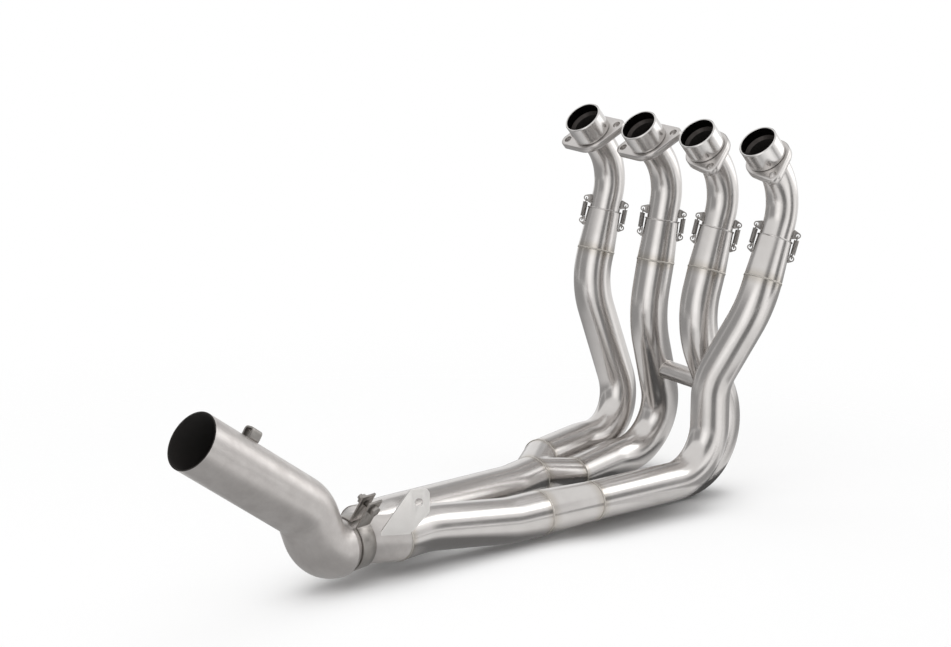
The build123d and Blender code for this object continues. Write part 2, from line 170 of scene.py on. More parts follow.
@dataclass(frozen=True)
class SteelFinish:
    """Bare steel whose colour, gloss and fine relief vary as its working left them.

    Args:
        name: Steel and how its surface was made.
        colour: Colour of most of the surface.
        patch_colour: Colour of its duller patches.
        roughness: Mean roughness.
        roughness_spread: How far the roughness strays to either side.
        line_spacing: Distance between polishing lines or pits.
        line_stretch: Length of a line against its width.
        relief: Height of the lines or pits.
        patch_size: Size of the duller patches.
        lay: What the lines follow.
        weld_tint: Colour that heat leaves beside a weld.
        on_route: Whether the pattern follows the piece's own route attributes.
    """

    name: str
    colour: str
    patch_colour: str
    roughness: float
    roughness_spread: float
    line_spacing: float
    line_stretch: float
    relief: float
    patch_size: float
    lay: Lay
    weld_tint: Optional[str] = None
    on_route: bool = True

    def build(self) -> Material:
        """Make the node material of this finish.

        Returns:
            The material.
        """
        material, add = new_material(self.name)
        place = self._place(add)
        fine = 1.0 / self.line_spacing
        slow = fine / self.line_stretch
        scale = {
            Lay.ROUND_THE_TUBE: (fine, slow, slow),
            Lay.ALONG_THE_TUBE: (slow, fine, fine),
            Lay.NO_DIRECTION: (fine, fine, fine),
        }[self.lay]
        lines_at = add("ShaderNodeMapping", {"Scale": scale, "Vector": place})
        lines = add("ShaderNodeTexNoise", {"Scale": 1.0, "Detail": 3.0, "Vector": lines_at})
        patch = 1.0 / self.patch_size
        patches_at = add("ShaderNodeMapping", {"Scale": (patch, patch, patch), "Vector": place})
        patches = add("ShaderNodeTexNoise", {
            "Scale": 1.0, "Detail": 4.0, "Roughness": 0.6, "Vector": patches_at,
        })
        colour = add("ShaderNodeMix", {
            "data_type": "RGBA", MIX_A: linear(self.colour), MIX_B: linear(self.patch_colour),
            0: patches.outputs["Fac"],
        }).outputs[MIX_OUT]
        lines_part = add("ShaderNodeMath", {"operation": "MULTIPLY", 0: lines.outputs["Fac"], 1: LINE_SHARE})
        gloss = add("ShaderNodeMath", {
            "operation": "MULTIPLY_ADD", 0: patches.outputs["Fac"], 1: 1.0 - LINE_SHARE, 2: lines_part,
        })
        roughness = add("ShaderNodeMapRange", {
            "From Min": NOISE_RANGE[0], "From Max": NOISE_RANGE[1],
            "To Min": self.roughness - self.roughness_spread,
            "To Max": self.roughness + self.roughness_spread, "Value": gloss,
        })
        if self.weld_tint:
            beside = add("ShaderNodeAttribute", {"attribute_name": "weld"})
            heat = add("ShaderNodeMapRange", {
                "interpolation_type": "SMOOTHSTEP", "From Min": HEAT_REACH[0], "From Max": HEAT_REACH[1],
                "To Min": HEAT_STRENGTH, "To Max": 0.0, "Value": beside.outputs["Fac"],
            })
            colour = add("ShaderNodeMix", {
                "data_type": "RGBA", MIX_B: linear(self.weld_tint), 0: heat, MIX_A: colour,
            }).outputs[MIX_OUT]
        bump = add("ShaderNodeBump", {
            "Strength": BUMP_STRENGTH, "Distance": self.relief * MM, "Height": lines.outputs["Fac"],
        })
        shader = add("ShaderNodeBsdfPrincipled", {
            "Metallic": 1.0, "Base Color": colour, "Roughness": roughness, "Normal": bump,
        })
        add("ShaderNodeOutputMaterial", {"Surface": shader})
        return material

    def _place(self, add: Adder) -> Socket:
        """Give the pattern's place in millimetres, along the route or in the piece's own space.

        Args:
            add: add_node bound to the material's tree.

        Returns:
            Socket with the place.
        """
        if not self.on_route:
            spot = add("ShaderNodeTexCoord")
            return add("ShaderNodeVectorMath", {
                "operation": "SCALE", "Scale": 1 / MM, 0: spot.outputs["Object"],
            }).outputs[0]
        along = add("ShaderNodeAttribute", {"attribute_name": "along"})
        ring = add("ShaderNodeAttribute", {"attribute_name": "ring"})
        parts = add("ShaderNodeSeparateXYZ", {0: ring.outputs["Vector"]})
        return add("ShaderNodeCombineXYZ", {
            0: along.outputs["Fac"], 1: parts, 2: parts.outputs[1],
        }).outputs[0]


@dataclass(frozen=True)
class BoreShadeFinish:
    """Near-black colour on the inside of a tube: painted shade of the bore.

    Args:
        name: What it is.
        colour: Colour of most of the surface.
        patch_colour: Colour of its paler patches.
        roughness: Roughness all over.
        patch_size: Size of the patches.
    """

    name: str
    colour: str
    patch_colour: str
    roughness: float
    patch_size: float

    def build(self) -> Material:
        """Make the node material of this finish.

        Returns:
            The material.
        """
        material, add = new_material(self.name)
        spot = add("ShaderNodeTexCoord")
        patches = add("ShaderNodeTexNoise", {
            "Scale": 1 / (self.patch_size * MM), "Detail": 5.0, "Vector": spot.outputs["Object"],
        })
        colour = add("ShaderNodeMix", {
            "data_type": "RGBA", MIX_A: linear(self.colour), MIX_B: linear(self.patch_colour),
            0: patches.outputs["Fac"],
        })
        shader = add("ShaderNodeBsdfPrincipled", {
            "Roughness": self.roughness, "Base Color": colour.outputs[MIX_OUT],
        })
        add("ShaderNodeOutputMaterial", {"Surface": shader})
        return material


# Polishing lines, tool marks and blast pits are a tenth of a millimetre or finer on real steel. Here they are
# drawn 0.5 to 1.1 mm apart, so that they show in the render.

# Belt-polished tube: broad soft reflections with a warm grey tone, a breath of straw beside each weld
SATIN_TUBE = SteelFinish(
    "stainless_steel_belt_polished", "#D3D0CE", "#C4C0BD", 0.21, 0.04, 0.8, 12.0, 0.0015, 24.0,
    Lay.ROUND_THE_TUBE, weld_tint="#AFA79B",
)
# Lathe-turned collar: tight rings that draw the highlight out across the tool marks
TURNED_STEEL = SteelFinish(
    "stainless_steel_lathe_turned", "#D6D4D2", "#CAC7C5", 0.22, 0.05, 0.7, 30.0, 0.006, 18.0,
    Lay.ROUND_THE_TUBE,
)
# Plate cut and ground flat: dull, even grey with short scratches
GROUND_PLATE = SteelFinish(
    "stainless_plate_ground", "#D0CDCB", "#BCB8B5", 0.32, 0.07, 1.1, 4.0, 0.008, 14.0,
    Lay.ALONG_THE_TUBE, on_route=False,
)
# The same grinding on the plain crossover tube, which has no polished run of its own
GROUND_TUBE = replace(GROUND_PLATE, name="stainless_tube_ground")
# Bead-blasted tube: fine pits spread each highlight into a pale matt sheen
BLASTED_TUBE = SteelFinish(
    "stainless_tube_bead_blasted", "#DEDAD7", "#B5B0AD", 0.38, 0.06, 0.8, 1.0, 0.008, 17.0, Lay.NO_DIRECTION,
)
# The same blasting on flat pieces, paler where the plate is new
BLASTED_PLATE = SteelFinish(
    "stainless_plate_bead_blasted", "#ECEAE7", "#DEDBD8", 0.46, 0.05, 0.8, 1.0, 0.010, 16.0,
    Lay.NO_DIRECTION, on_route=False,
)
# Drawn wire, darkened by heat: small hard glints on dark grey
DRAWN_WIRE = SteelFinish(
    "spring_wire_drawn", "#A29F9C", "#8A8683", 0.36, 0.08, 0.5, 8.0, 0.006, 5.0,
    Lay.ALONG_THE_TUBE, on_route=False,
)
# Rolled strip of the clamp: satin, a little darker than the tubes, with handling marks
ROLLED_STRIP = SteelFinish(
    "clamp_strip_rolled", "#A9A5A1", "#8D8985", 0.34, 0.08, 0.9, 9.0, 0.008, 7.0,
    Lay.ALONG_THE_TUBE, on_route=False,
)
# Weld metal as it froze: bright ripples with a trace of straw
WELD_METAL = SteelFinish(
    "weld_metal_as_laid", "#C9C5C0", "#AAA49B", 0.30, 0.08, 0.8, 1.0, 0.008, 6.0,
    Lay.NO_DIRECTION, on_route=False,
)
# Mouth of a collar: steel darkened as painted shade of the bore, with a few dull glints
MOUTH_PAINTED_SHADE = SteelFinish(
    "stainless_steel_mouth_painted_shade", "#4C4846", "#2B2827", 0.34, 0.08, 0.9, 20.0, 0.006, 6.0,
    Lay.ALONG_THE_TUBE,
)
# Painted shade of the tubes' insides: near-black, so that open ends read as black
BORE_PAINTED_SHADE = BoreShadeFinish("bore_painted_shade", "#161413", "#25211E", 0.9, 9.0)


class Palette:
    """The materials of the header, each made once."""

    def __init__(self) -> None:
        """Build every finish."""
        self.tube = SATIN_TUBE.build()
        self.turned = TURNED_STEEL.build()
        self.ground = GROUND_PLATE.build()
        self.ground_tube = GROUND_TUBE.build()
        self.blasted = BLASTED_TUBE.build()
        self.blasted_plate = BLASTED_PLATE.build()
        self.wire = DRAWN_WIRE.build()
        self.strip = ROLLED_STRIP.build()
        self.weld = WELD_METAL.build()
        # These two are painted shade: inside the collars' mouths, and inside the tubes.
        self.mouth_shade = MOUTH_PAINTED_SHADE.build()
        self.bore = BORE_PAINTED_SHADE.build()


def settle(piece: Piece, body: str, replaced: Sequence[str] = ()) -> Piece:
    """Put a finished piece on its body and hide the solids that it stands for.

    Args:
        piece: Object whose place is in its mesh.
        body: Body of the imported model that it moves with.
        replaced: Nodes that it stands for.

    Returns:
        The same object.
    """
    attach(piece, body)
    if replaced:
        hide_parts(*replaced)
    log.info("%s rides on %s, %d faces", piece.name, body, len(piece.data.polygons))
    return piece


def new_object(name: str, mesh: Mesh, materials: Sequence[Material]) -> Piece:
    """Link a mesh into the scene with its materials.

    Args:
        name: Name of the object.
        mesh: Its mesh.
        materials: Materials in the order of the mesh's slots.

    Returns:
        The new object.
    """
    for material in materials:
        mesh.materials.append(material)
    piece = bpy.data.objects.new(name, mesh)
    bpy.context.scene.collection.objects.link(piece)
    return piece


def smooth_by_angle(mesh: Mesh, degrees: float) -> None:
    """Shade a mesh smooth, apart from edges sharper than an angle."""
    mesh.shade_smooth()
    mesh.set_sharp_from_angle(angle=math.radians(degrees))


def store(mesh: Mesh, name: str, values: np.ndarray) -> None:
    """Store a number or a vector at each vertex.

    Args:
        mesh: Mesh that takes the attribute.
        name: Name of the attribute.
        values: One number or three numbers a vertex.
    """
    kind, label = ("FLOAT", "value") if values.ndim == 1 else ("FLOAT_VECTOR", "vector")
    data = values.astype(np.float32).ravel()
    mesh.attributes.new(name, kind, "POINT").data.foreach_set(label, data)


def route_attributes(mesh: Mesh, along: np.ndarray, ring: np.ndarray, weld: np.ndarray) -> None:
    """Store where each vertex lies on its route, for the finishes.

    Args:
        mesh: Mesh that takes the attributes.
        along: Distance along the route.
        ring: Place across the route, three numbers a vertex.
        weld: Distance from the nearest weld.
    """
    for name, values in (("along", along), ("ring", ring), ("weld", weld)):
        store(mesh, name, values)


def face_outwards(mesh: Mesh) -> None:
    """Turn the faces of a closed mesh outwards.

    Args:
        mesh: Mesh to change.
    """
    form = bmesh.new()
    form.from_mesh(mesh)
    bmesh.ops.recalc_face_normals(form, faces=form.faces)
    form.to_mesh(mesh)
    form.free()


def round_axis(axis: Sequence[float], count: int) -> tuple[np.ndarray, np.ndarray, np.ndarray]:
    """Give even angles round an axis and the two directions that they are measured in.

    Args:
        axis: Direction of the axis.
        count: Number of angles.

    Returns:
        The angles, the first direction and the second.
    """
    line = Vector(axis).normalized()
    side = line.orthogonal().normalized()
    return np.arange(count) * 2 * math.pi / count, np.array(side), np.array(line.cross(side))


def run_tree(name: str, mesh: Mesh, tree: Tree, sizes: dict[str, Any]) -> Piece:
    """Shape a mesh with a Geometry Nodes tree and keep the result as a plain mesh.

    Args:
        name: Name of the new object.
        mesh: Points and edges that the tree starts from.
        tree: Geometry Nodes tree.
        sizes: Values by the names of the tree's inputs.

    Returns:
        The new object, without its modifier.
    """
    piece = bpy.data.objects.new(name, mesh)
    modifier = piece.modifiers.new("shape", "NODES")
    modifier.node_group = tree
    for item in tree.interface.items_tree:
        if item.in_out == "INPUT" and item.name in sizes:
            modifier[item.identifier] = sizes[item.name]
    bpy.context.scene.collection.objects.link(piece)
    depsgraph = bpy.context.evaluated_depsgraph_get()
    made = bpy.data.meshes.new_from_object(
        piece.evaluated_get(depsgraph), preserve_all_data_layers=True, depsgraph=depsgraph,
    )
    piece.modifiers.remove(modifier)
    piece.data = made
    return piece


def new_tree(
    name: str, sizes: Sequence[str], counts: Sequence[str] = (),
) -> tuple[Tree, Adder, dict[str, Socket]]:
    """Start a Geometry Nodes tree.

    Args:
        name: Name of the tree.
        sizes: Names of the inputs that take a size.
        counts: Names of the inputs that take a whole number.

    Returns:
        The tree, add_node bound to it, and the sockets of its inputs by name.
    """
    tree = bpy.data.node_groups.new(name, "GeometryNodeTree")
    kinds = {"Geometry": "Geometry"} | dict.fromkeys(sizes, "Float") | dict.fromkeys(counts, "Int")
    for label, kind in kinds.items():
        tree.interface.new_socket(label, in_out="INPUT", socket_type=f"NodeSocket{kind}")
    tree.interface.new_socket("Geometry", in_out="OUTPUT", socket_type="NodeSocketGeometry")
    add = partial(add_node, tree)
    given = add("NodeGroupInput")
    return tree, add, {label: given.outputs[label] for label in kinds}


def bent_tube_tree(metal: Material, bore: Material) -> Tree:
    """Tree that rounds the corners of a route and sweeps a tube wall along it.

    Args:
        metal: Finish of the outside.
        bore: Finish of the inside.

    Returns:
        The tree. Its route carries the bend radius at each corner as the attribute bend.
    """
    tree, add, given = new_tree(
        f"bent_tube_{metal.name}", ("Outer Radius", "Wall", "Step", "Weld Clear"), ("Ring Points",),
    )
    corners = add("GeometryNodeMeshToCurve", {"Mesh": given["Geometry"]})
    bend = add("GeometryNodeInputNamedAttribute", {"Name": "bend"})
    rounded = add("GeometryNodeFilletCurve", {"mode": "POLY", "Count": 48, "Curve": corners, "Radius": bend})
    route = add("GeometryNodeResampleCurve", {"mode": "LENGTH", "Curve": rounded, "Length": given["Step"]})
    distance = add("GeometryNodeSplineParameter")
    along = add("ShaderNodeMath", {"operation": "DIVIDE", 1: MM, 0: distance.outputs["Length"]})
    total = add("GeometryNodeCurveLength", {0: route})
    whole = add("ShaderNodeMath", {"operation": "DIVIDE", 1: MM, 0: total})
    rest = add("ShaderNodeMath", {"operation": "SUBTRACT", 0: whole, 1: along})
    nearest = add("ShaderNodeMath", {"operation": "MINIMUM", 0: along, 1: rest})
    weld = add("ShaderNodeMath", {"operation": "ADD", 0: nearest, 1: given["Weld Clear"]})
    marked = add("GeometryNodeStoreNamedAttribute", {"Name": "along", "Geometry": route, "Value": along})
    marked = add("GeometryNodeStoreNamedAttribute", {"Name": "weld", "Geometry": marked, "Value": weld})
    inner_radius = add("ShaderNodeMath", {
        "operation": "SUBTRACT", 0: given["Outer Radius"], 1: given["Wall"],
    })
    place = add("GeometryNodeInputPosition")
    across = add("ShaderNodeVectorMath", {"operation": "SCALE", "Scale": 1 / MM, 0: place})
    walls = add("GeometryNodeJoinGeometry")
    for radius, inside in ((given["Outer Radius"], False), (inner_radius.outputs[0], True)):
        ring = add("GeometryNodeCurvePrimitiveCircle", {"Resolution": given["Ring Points"], "Radius": radius})
        ring = add("GeometryNodeStoreNamedAttribute", {
            "data_type": "FLOAT_VECTOR", "Name": "ring", "Geometry": ring, "Value": across,
        })
        ring = add("GeometryNodeStoreNamedAttribute", {
            "data_type": "BOOLEAN", "Name": "inside", "Value": inside, "Geometry": ring,
        })
        wall = add("GeometryNodeCurveToMesh", {"Curve": marked, "Profile Curve": ring})
        if inside:
            wall = add("GeometryNodeFlipFaces", {0: wall})
        tree.links.new(wall.outputs[0], walls.inputs[0])
    shaded = add("GeometryNodeSetShadeSmooth", {0: walls})
    real = add("GeometryNodeRealizeInstances", {0: shaded})
    dressed = add("GeometryNodeSetMaterial", {"Material": metal, "Geometry": real})
    is_inside = add("GeometryNodeInputNamedAttribute", {"data_type": "BOOLEAN", "Name": "inside"})
    dressed = add("GeometryNodeSetMaterial", {"Material": bore, "Geometry": dressed, "Selection": is_inside})
    add("NodeGroupOutput", {0: dressed})
    return tree


@dataclass
class BentTube:
    """Tube along straight runs with a bend at each corner.

    Args:
        name: Name of the piece.
        corners: Route's ends and corners.
        bends: Bend radius at each corner between the ends.
        diameter: Outside diameter.
        wall: Wall thickness.
        welded: Whether both ends are welded.
        step: Distance between rings of vertices.
        ring_points: Vertices in a ring.
    """

    name: str
    corners: Sequence[Point]
    bends: Sequence[float]
    diameter: float
    wall: float
    welded: bool
    step: float = 4.0
    ring_points: int = 64

    def build(self, tree: Tree) -> Piece:
        """Sweep the tube and close its wall at the ends.

        Args:
            tree: Tree from bent_tube_tree.

        Returns:
            The tube as a plain mesh object.
        """
        mesh = bpy.data.meshes.new(self.name)
        points = [Vector(c) * MM for c in self.corners]
        mesh.from_pydata(points, [(i, i + 1) for i in range(len(points) - 1)], [])
        store(mesh, "bend", np.array([0.0, *self.bends, 0.0], np.float32) * MM)
        piece = run_tree(self.name, mesh, tree, {
            "Outer Radius": self.diameter / 2 * MM,
            "Wall": self.wall * MM,
            "Step": self.step * MM,
            "Weld Clear": 0.0 if self.welded else NO_WELD,
            "Ring Points": self.ring_points,
        })
        self._close_ends(piece.data, (points[0], points[-1]))
        return piece

    def _close_ends(self, mesh: Mesh, ends: Sequence[Vector]) -> None:
        """Join the outer and inner walls with a flat ring at each end.

        Args:
            mesh: Swept walls, open at their ends.
            ends: Middle of each end.
        """
        form = bmesh.new()
        form.from_mesh(mesh)
        reach = (self.diameter / 2 + END_MARGIN) * MM
        for end in ends:
            rims = [e for e in form.edges if e.is_boundary and (e.verts[0].co - end).length < reach]
            for edge in rims:
                edge.smooth = False
            bmesh.ops.bridge_loops(form, edges=rims)
        bmesh.ops.recalc_face_normals(form, faces=form.faces)
        form.to_mesh(mesh)
        form.free()


@dataclass
class TurnedPiece:
    """Piece turned on a lathe from an outline of radius and distance along its axis.

    Args:
        name: Name of the piece.
        start: Point on the axis where the distance is nought.
        axis: Direction of the axis.
        outline: Corners as radius and distance, the outside first and the inside after it.
        inside_from: Number of the first corner that belongs to the inside, which takes a darker finish as
            painted shade.
        weld_at: Distance along the axis of its weld, if it has one.
        segments: Faces round the axis.
    """

    name: str
    start: Point
    axis: Point
    outline: Sequence[Pair]
    inside_from: int
    weld_at: Optional[float] = None
    segments: int = 96

    def build(self, metal: Material, bore: Material) -> Piece:
        """Spin the outline and store its route attributes.

        Args:
            metal: Finish of the outside.
            bore: Finish of the inside.

        Returns:
            The turned piece.
        """
        angles, side, other = round_axis(self.axis, self.segments)
        axis = np.array(Vector(self.axis).normalized())
        outline = self._finer()
        count = len(outline)
        r = np.array([p[0] for p in outline])[:, None]
        z = np.repeat(np.array([p[1] for p in outline])[:, None], self.segments, axis=1)
        x, y = r * np.cos(angles), r * np.sin(angles)
        spots = (np.array(self.start) + x[..., None] * side + y[..., None] * other + z[..., None] * axis) * MM
        faces, finishes = [], []
        for i in range(count):
            j = (i + 1) % count
            for k in range(self.segments):
                m = (k + 1) % self.segments
                a, b = i * self.segments, j * self.segments
                faces.append((a + k, a + m, b + m, b + k))
                finishes.append(1 if outline[i][2] and outline[j][2] else 0)
        mesh = bpy.data.meshes.new(self.name)
        mesh.from_pydata(spots.reshape(-1, 3).tolist(), [], faces)
        ring = np.stack([x, y, np.zeros_like(x)], axis=-1)
        weld = np.full(z.size, NO_WELD) if self.weld_at is None else np.abs(z.ravel() - self.weld_at)
        route_attributes(mesh, z.ravel(), ring.reshape(-1, 3), weld)
        piece = new_object(self.name, mesh, (metal, bore))
        mesh.polygons.foreach_set("material_index", finishes)
        face_outwards(mesh)
        smooth_by_angle(mesh, TURNED_CREASE)
        return piece

    def _finer(self, longest: float = 4.0) -> list[tuple[float, float, bool]]:
        """Split long sides of the outline, and say which points are on the inside.

        Args:
            longest: Length that no side goes past.

        Returns:
            Radius and distance of each point, and whether it is on the inside.
        """
        points = []
        for i, (a, b) in enumerate(zip(self.outline, [*self.outline[1:], self.outline[0]])):
            parts = max(1, math.ceil(math.dist(a, b) / longest))
            for k in range(parts):
                t = k / parts
                points.append((a[0] + (b[0] - a[0]) * t, a[1] + (b[1] - a[1]) * t, i >= self.inside_from))
        return points


@dataclass
class MergingCones:
    """Two cones that run together into one round outlet, with a soft valley between them.

    Args:
        name: Name of the piece.
        start: Middle of the inlet plane.
        heading: Level direction towards the outlet.
        half: Offset of the first inlet from the middle, across and upwards.
        inlet_radius: Radius of each inlet.
        outlet_radius: Radius of the outlet.
        length: Length from inlets to outlet.
        spigot: Length of the plain round end after the cones.
        columns: Vertices round the piece.
        rows: Rings of vertices along the cones.
        soft_reach: Vertices to either side that the valley's rounding takes in.
    """

    name: str
    start: Point
    heading: Point
    half: Pair
    inlet_radius: float
    outlet_radius: float
    length: float
    spigot: float = 0.0
    columns: int = 144
    rows: int = 28
    soft_reach: int = 8

    def build(self, metal: Material) -> Piece:
        """Loft the two-lobed section along the cones and close the ends.

        Args:
            metal: Finish of the outside.

        Returns:
            The merging piece.
        """
        heading = Vector(self.heading).normalized()
        across = UP.cross(heading)
        reach = math.hypot(*self.half)
        lobe = (across * self.half[0] + UP * self.half[1]) / reach
        other = heading.cross(lobe)
        theta = np.arange(self.columns) * 2 * math.pi / self.columns
        stations = [(t * self.length, t) for t in np.linspace(0.0, 1.0, self.rows)]
        if self.spigot:
            stations += [(self.length + s * self.spigot, 1.0) for s in SPIGOT_SHARES]
        spots, along, ring = [], [], []
        for distance, t in stations:
            offset = reach * (1 - t)
            radius = self.inlet_radius + (self.outlet_radius - self.inlet_radius) * t
            half_chord = np.sqrt(np.maximum(radius ** 2 - (offset * np.sin(theta)) ** 2, 0))
            rho = self._softened(np.abs(offset * np.cos(theta)) + half_chord)
            x, y = rho * np.cos(theta), rho * np.sin(theta)
            middle = np.array(self.start) + np.array(heading) * distance
            spots.append((middle + x[:, None] * np.array(lobe) + y[:, None] * np.array(other)) * MM)
            along.append(np.full(self.columns, distance))
            ring.append(np.stack([x, y, np.zeros_like(x)], axis=-1))
        faces = [
            (i * self.columns + k, i * self.columns + (k + 1) % self.columns,
             (i + 1) * self.columns + (k + 1) % self.columns, (i + 1) * self.columns + k)
            for i in range(len(stations) - 1) for k in range(self.columns)
        ]
        last = (len(stations) - 1) * self.columns
        faces.append(tuple(range(self.columns)))
        faces.append(tuple(range(last, last + self.columns)))
        mesh = bpy.data.meshes.new(self.name)
        mesh.from_pydata(np.concatenate(spots).tolist(), [], faces)
        distance = np.concatenate(along)
        to_weld = np.minimum(distance, np.abs(self.length - distance))
        route_attributes(mesh, distance, np.concatenate(ring), to_weld)
        piece = new_object(self.name, mesh, (metal,))
        face_outwards(mesh)
        smooth_by_angle(mesh, MERGE_CREASE)
        return piece

    def _softened(self, rho: np.ndarray, spread: float = 0.07) -> np.ndarray:
        """Round the valley of a section by averaging its radius over a small angle.

        Args:
            rho: Distance from the middle at each angle.
            spread: Width of the average in radians.

        Returns:
            The averaged distances.
        """
        step = 2 * math.pi / self.columns
        shifts = range(-self.soft_reach, self.soft_reach + 1)
        weights = np.array([math.exp(-0.5 * (k * step / spread) ** 2) for k in shifts])
        return sum(w * np.roll(rho, k) for w, k in zip(weights / weights.sum(), shifts))


@dataclass
class CutPiece:
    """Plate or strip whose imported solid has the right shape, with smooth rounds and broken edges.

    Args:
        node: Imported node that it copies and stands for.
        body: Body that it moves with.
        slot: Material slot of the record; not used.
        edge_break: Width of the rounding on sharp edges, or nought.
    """

    node: str
    body: str
    slot: Slot
    edge_break: float = 0.0

    def build(self, metal: Material) -> Piece:
        """Copy the solid's mesh, weld its triangles together and break its edges.

        Args:
            metal: Finish of the piece.

        Returns:
            The dressed piece.
        """
        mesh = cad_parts[self.node].data.copy()
        mesh.materials.clear()
        form = bmesh.new()
        form.from_mesh(mesh)
        bmesh.ops.remove_doubles(form, verts=form.verts, dist=SAME_SPOT * MM)
        bmesh.ops.dissolve_degenerate(form, edges=form.edges, dist=SAME_SPOT / 2 * MM)
        if self.edge_break:
            flat = math.radians(FLAT_ANGLE)
            bmesh.ops.dissolve_limit(form, angle_limit=flat, verts=form.verts, edges=form.edges)
            least = math.radians(SHARP_ANGLE)
            sharp = [e for e in form.edges if len(e.link_faces) == 2 and e.calc_face_angle(0.0) > least]
            bmesh.ops.bevel(
                form, geom=sharp, offset=self.edge_break * MM, offset_type="OFFSET", segments=2, profile=0.5,
                affect="EDGES", clamp_overlap=True,
            )
        form.to_mesh(mesh)
        form.free()
        mesh.name = f"{self.node}_dressed"
        piece = new_object(f"{self.node}_dressed", mesh, (metal,))
        smooth_by_angle(mesh, PLATE_CREASE)
        return settle(piece, self.body, (self.node,))


@dataclass
class WeldRing:
    """Closed line of a weld round a tube.

    Args:
        centre: Point on the tube's axis.
        axis: Direction of the tube.
        radius: Tube's outside radius.
    """

    centre: Point
    axis: Point
    radius: float

    def points(self, count: int = 72) -> tuple[np.ndarray, np.ndarray]:
        """Give the ring's points and their outward directions.

        Args:
            count: Number of points.

        Returns:
            The points and the directions.
        """
        angles, side, other = round_axis(self.axis, count)
        out = np.cos(angles)[:, None] * side + np.sin(angles)[:, None] * other
        return np.array(self.centre) + out * self.radius, out


@dataclass
class SaddleWeld:
    """Closed line of a weld where a small tube stands on the side of a larger one.

    Args:
        centre: Point on the larger tube's axis.
        main_axis: Direction of the larger tube.
        main_radius: Larger tube's outside radius.
        branch_axis: Direction of the small tube, away from the larger one.
        branch_radius: Small tube's outside radius.
    """

    centre: Point
    main_axis: Point
    main_radius: float
    branch_axis: Point
    branch_radius: float

    def points(self, count: int = 48) -> tuple[np.ndarray, np.ndarray]:
        """Give the saddle's points and their outward directions.

        Args:
            count: Number of points.

        Returns:
            The points and the directions.
        """
        main = np.array(Vector(self.main_axis).normalized())
        branch = np.array(Vector(self.branch_axis).normalized())
        angles, side, other = round_axis(branch, count)
        out = np.cos(angles)[:, None] * side + np.sin(angles)[:, None] * other
        start = out * self.branch_radius
        flat = start - (start @ main)[:, None] * main
        run = branch - (branch @ main) * main
        a, b = run @ run, flat @ run
        c = np.sum(flat * flat, axis=1) - self.main_radius ** 2
        reach = (-b + np.sqrt(b * b - a * c)) / a
        spots = start + reach[:, None] * branch
        upright = spots - (spots @ main)[:, None] * main
        upright = upright / np.linalg.norm(upright, axis=1)[:, None] + out
        return np.array(self.centre) + spots, upright / np.linalg.norm(upright, axis=1)[:, None]


WeldLine = WeldRing | SaddleWeld


def weld_bead_tree(metal: Material) -> Tree:
    """Tree that lays overlapping flat drops of weld metal along closed lines.

    Args:
        metal: Finish of the weld.

    Returns:
        The tree. Its lines carry the outward direction as the attribute out.
    """
    tree, add, given = new_tree("weld_beads", ("Pitch", "Length", "Width", "Height", "Uneven"), ("Seed",))
    lines = add("GeometryNodeMeshToCurve", {"Mesh": given["Geometry"]})
    spots = add("GeometryNodeResampleCurve", {"mode": "LENGTH", "Curve": lines, "Length": given["Pitch"]})
    out = add("GeometryNodeInputNamedAttribute", {"data_type": "FLOAT_VECTOR", "Name": "out"})
    tangent = add("GeometryNodeInputTangent")
    turn = add("FunctionNodeAxesToRotation", {"primary_axis": "Z", "secondary_axis": "X", 0: out, 1: tangent})
    drop = add("GeometryNodeMeshUVSphere", {"Segments": 8, "Rings": 5, "Radius": 0.5})
    smooth = add("GeometryNodeSetShadeSmooth", {0: drop})
    size = add("ShaderNodeCombineXYZ", {0: given["Length"], 1: given["Width"], 2: given["Height"]})
    least = add("ShaderNodeMath", {"operation": "SUBTRACT", 0: 1.0, 1: given["Uneven"]})
    spread = add("FunctionNodeRandomValue", {RANDOM_MAX: 1.0, RANDOM_MIN: least, "Seed": given["Seed"]})
    scale = add("ShaderNodeVectorMath", {"operation": "SCALE", 0: size, "Scale": spread.outputs[RANDOM_OUT]})
    drops = add("GeometryNodeInstanceOnPoints", {
        "Points": spots, "Instance": smooth, "Rotation": turn, "Scale": scale,
    })
    real = add("GeometryNodeRealizeInstances", {0: drops})
    add("NodeGroupOutput", {0: add("GeometryNodeSetMaterial", {"Material": metal, "Geometry": real})})
    return tree


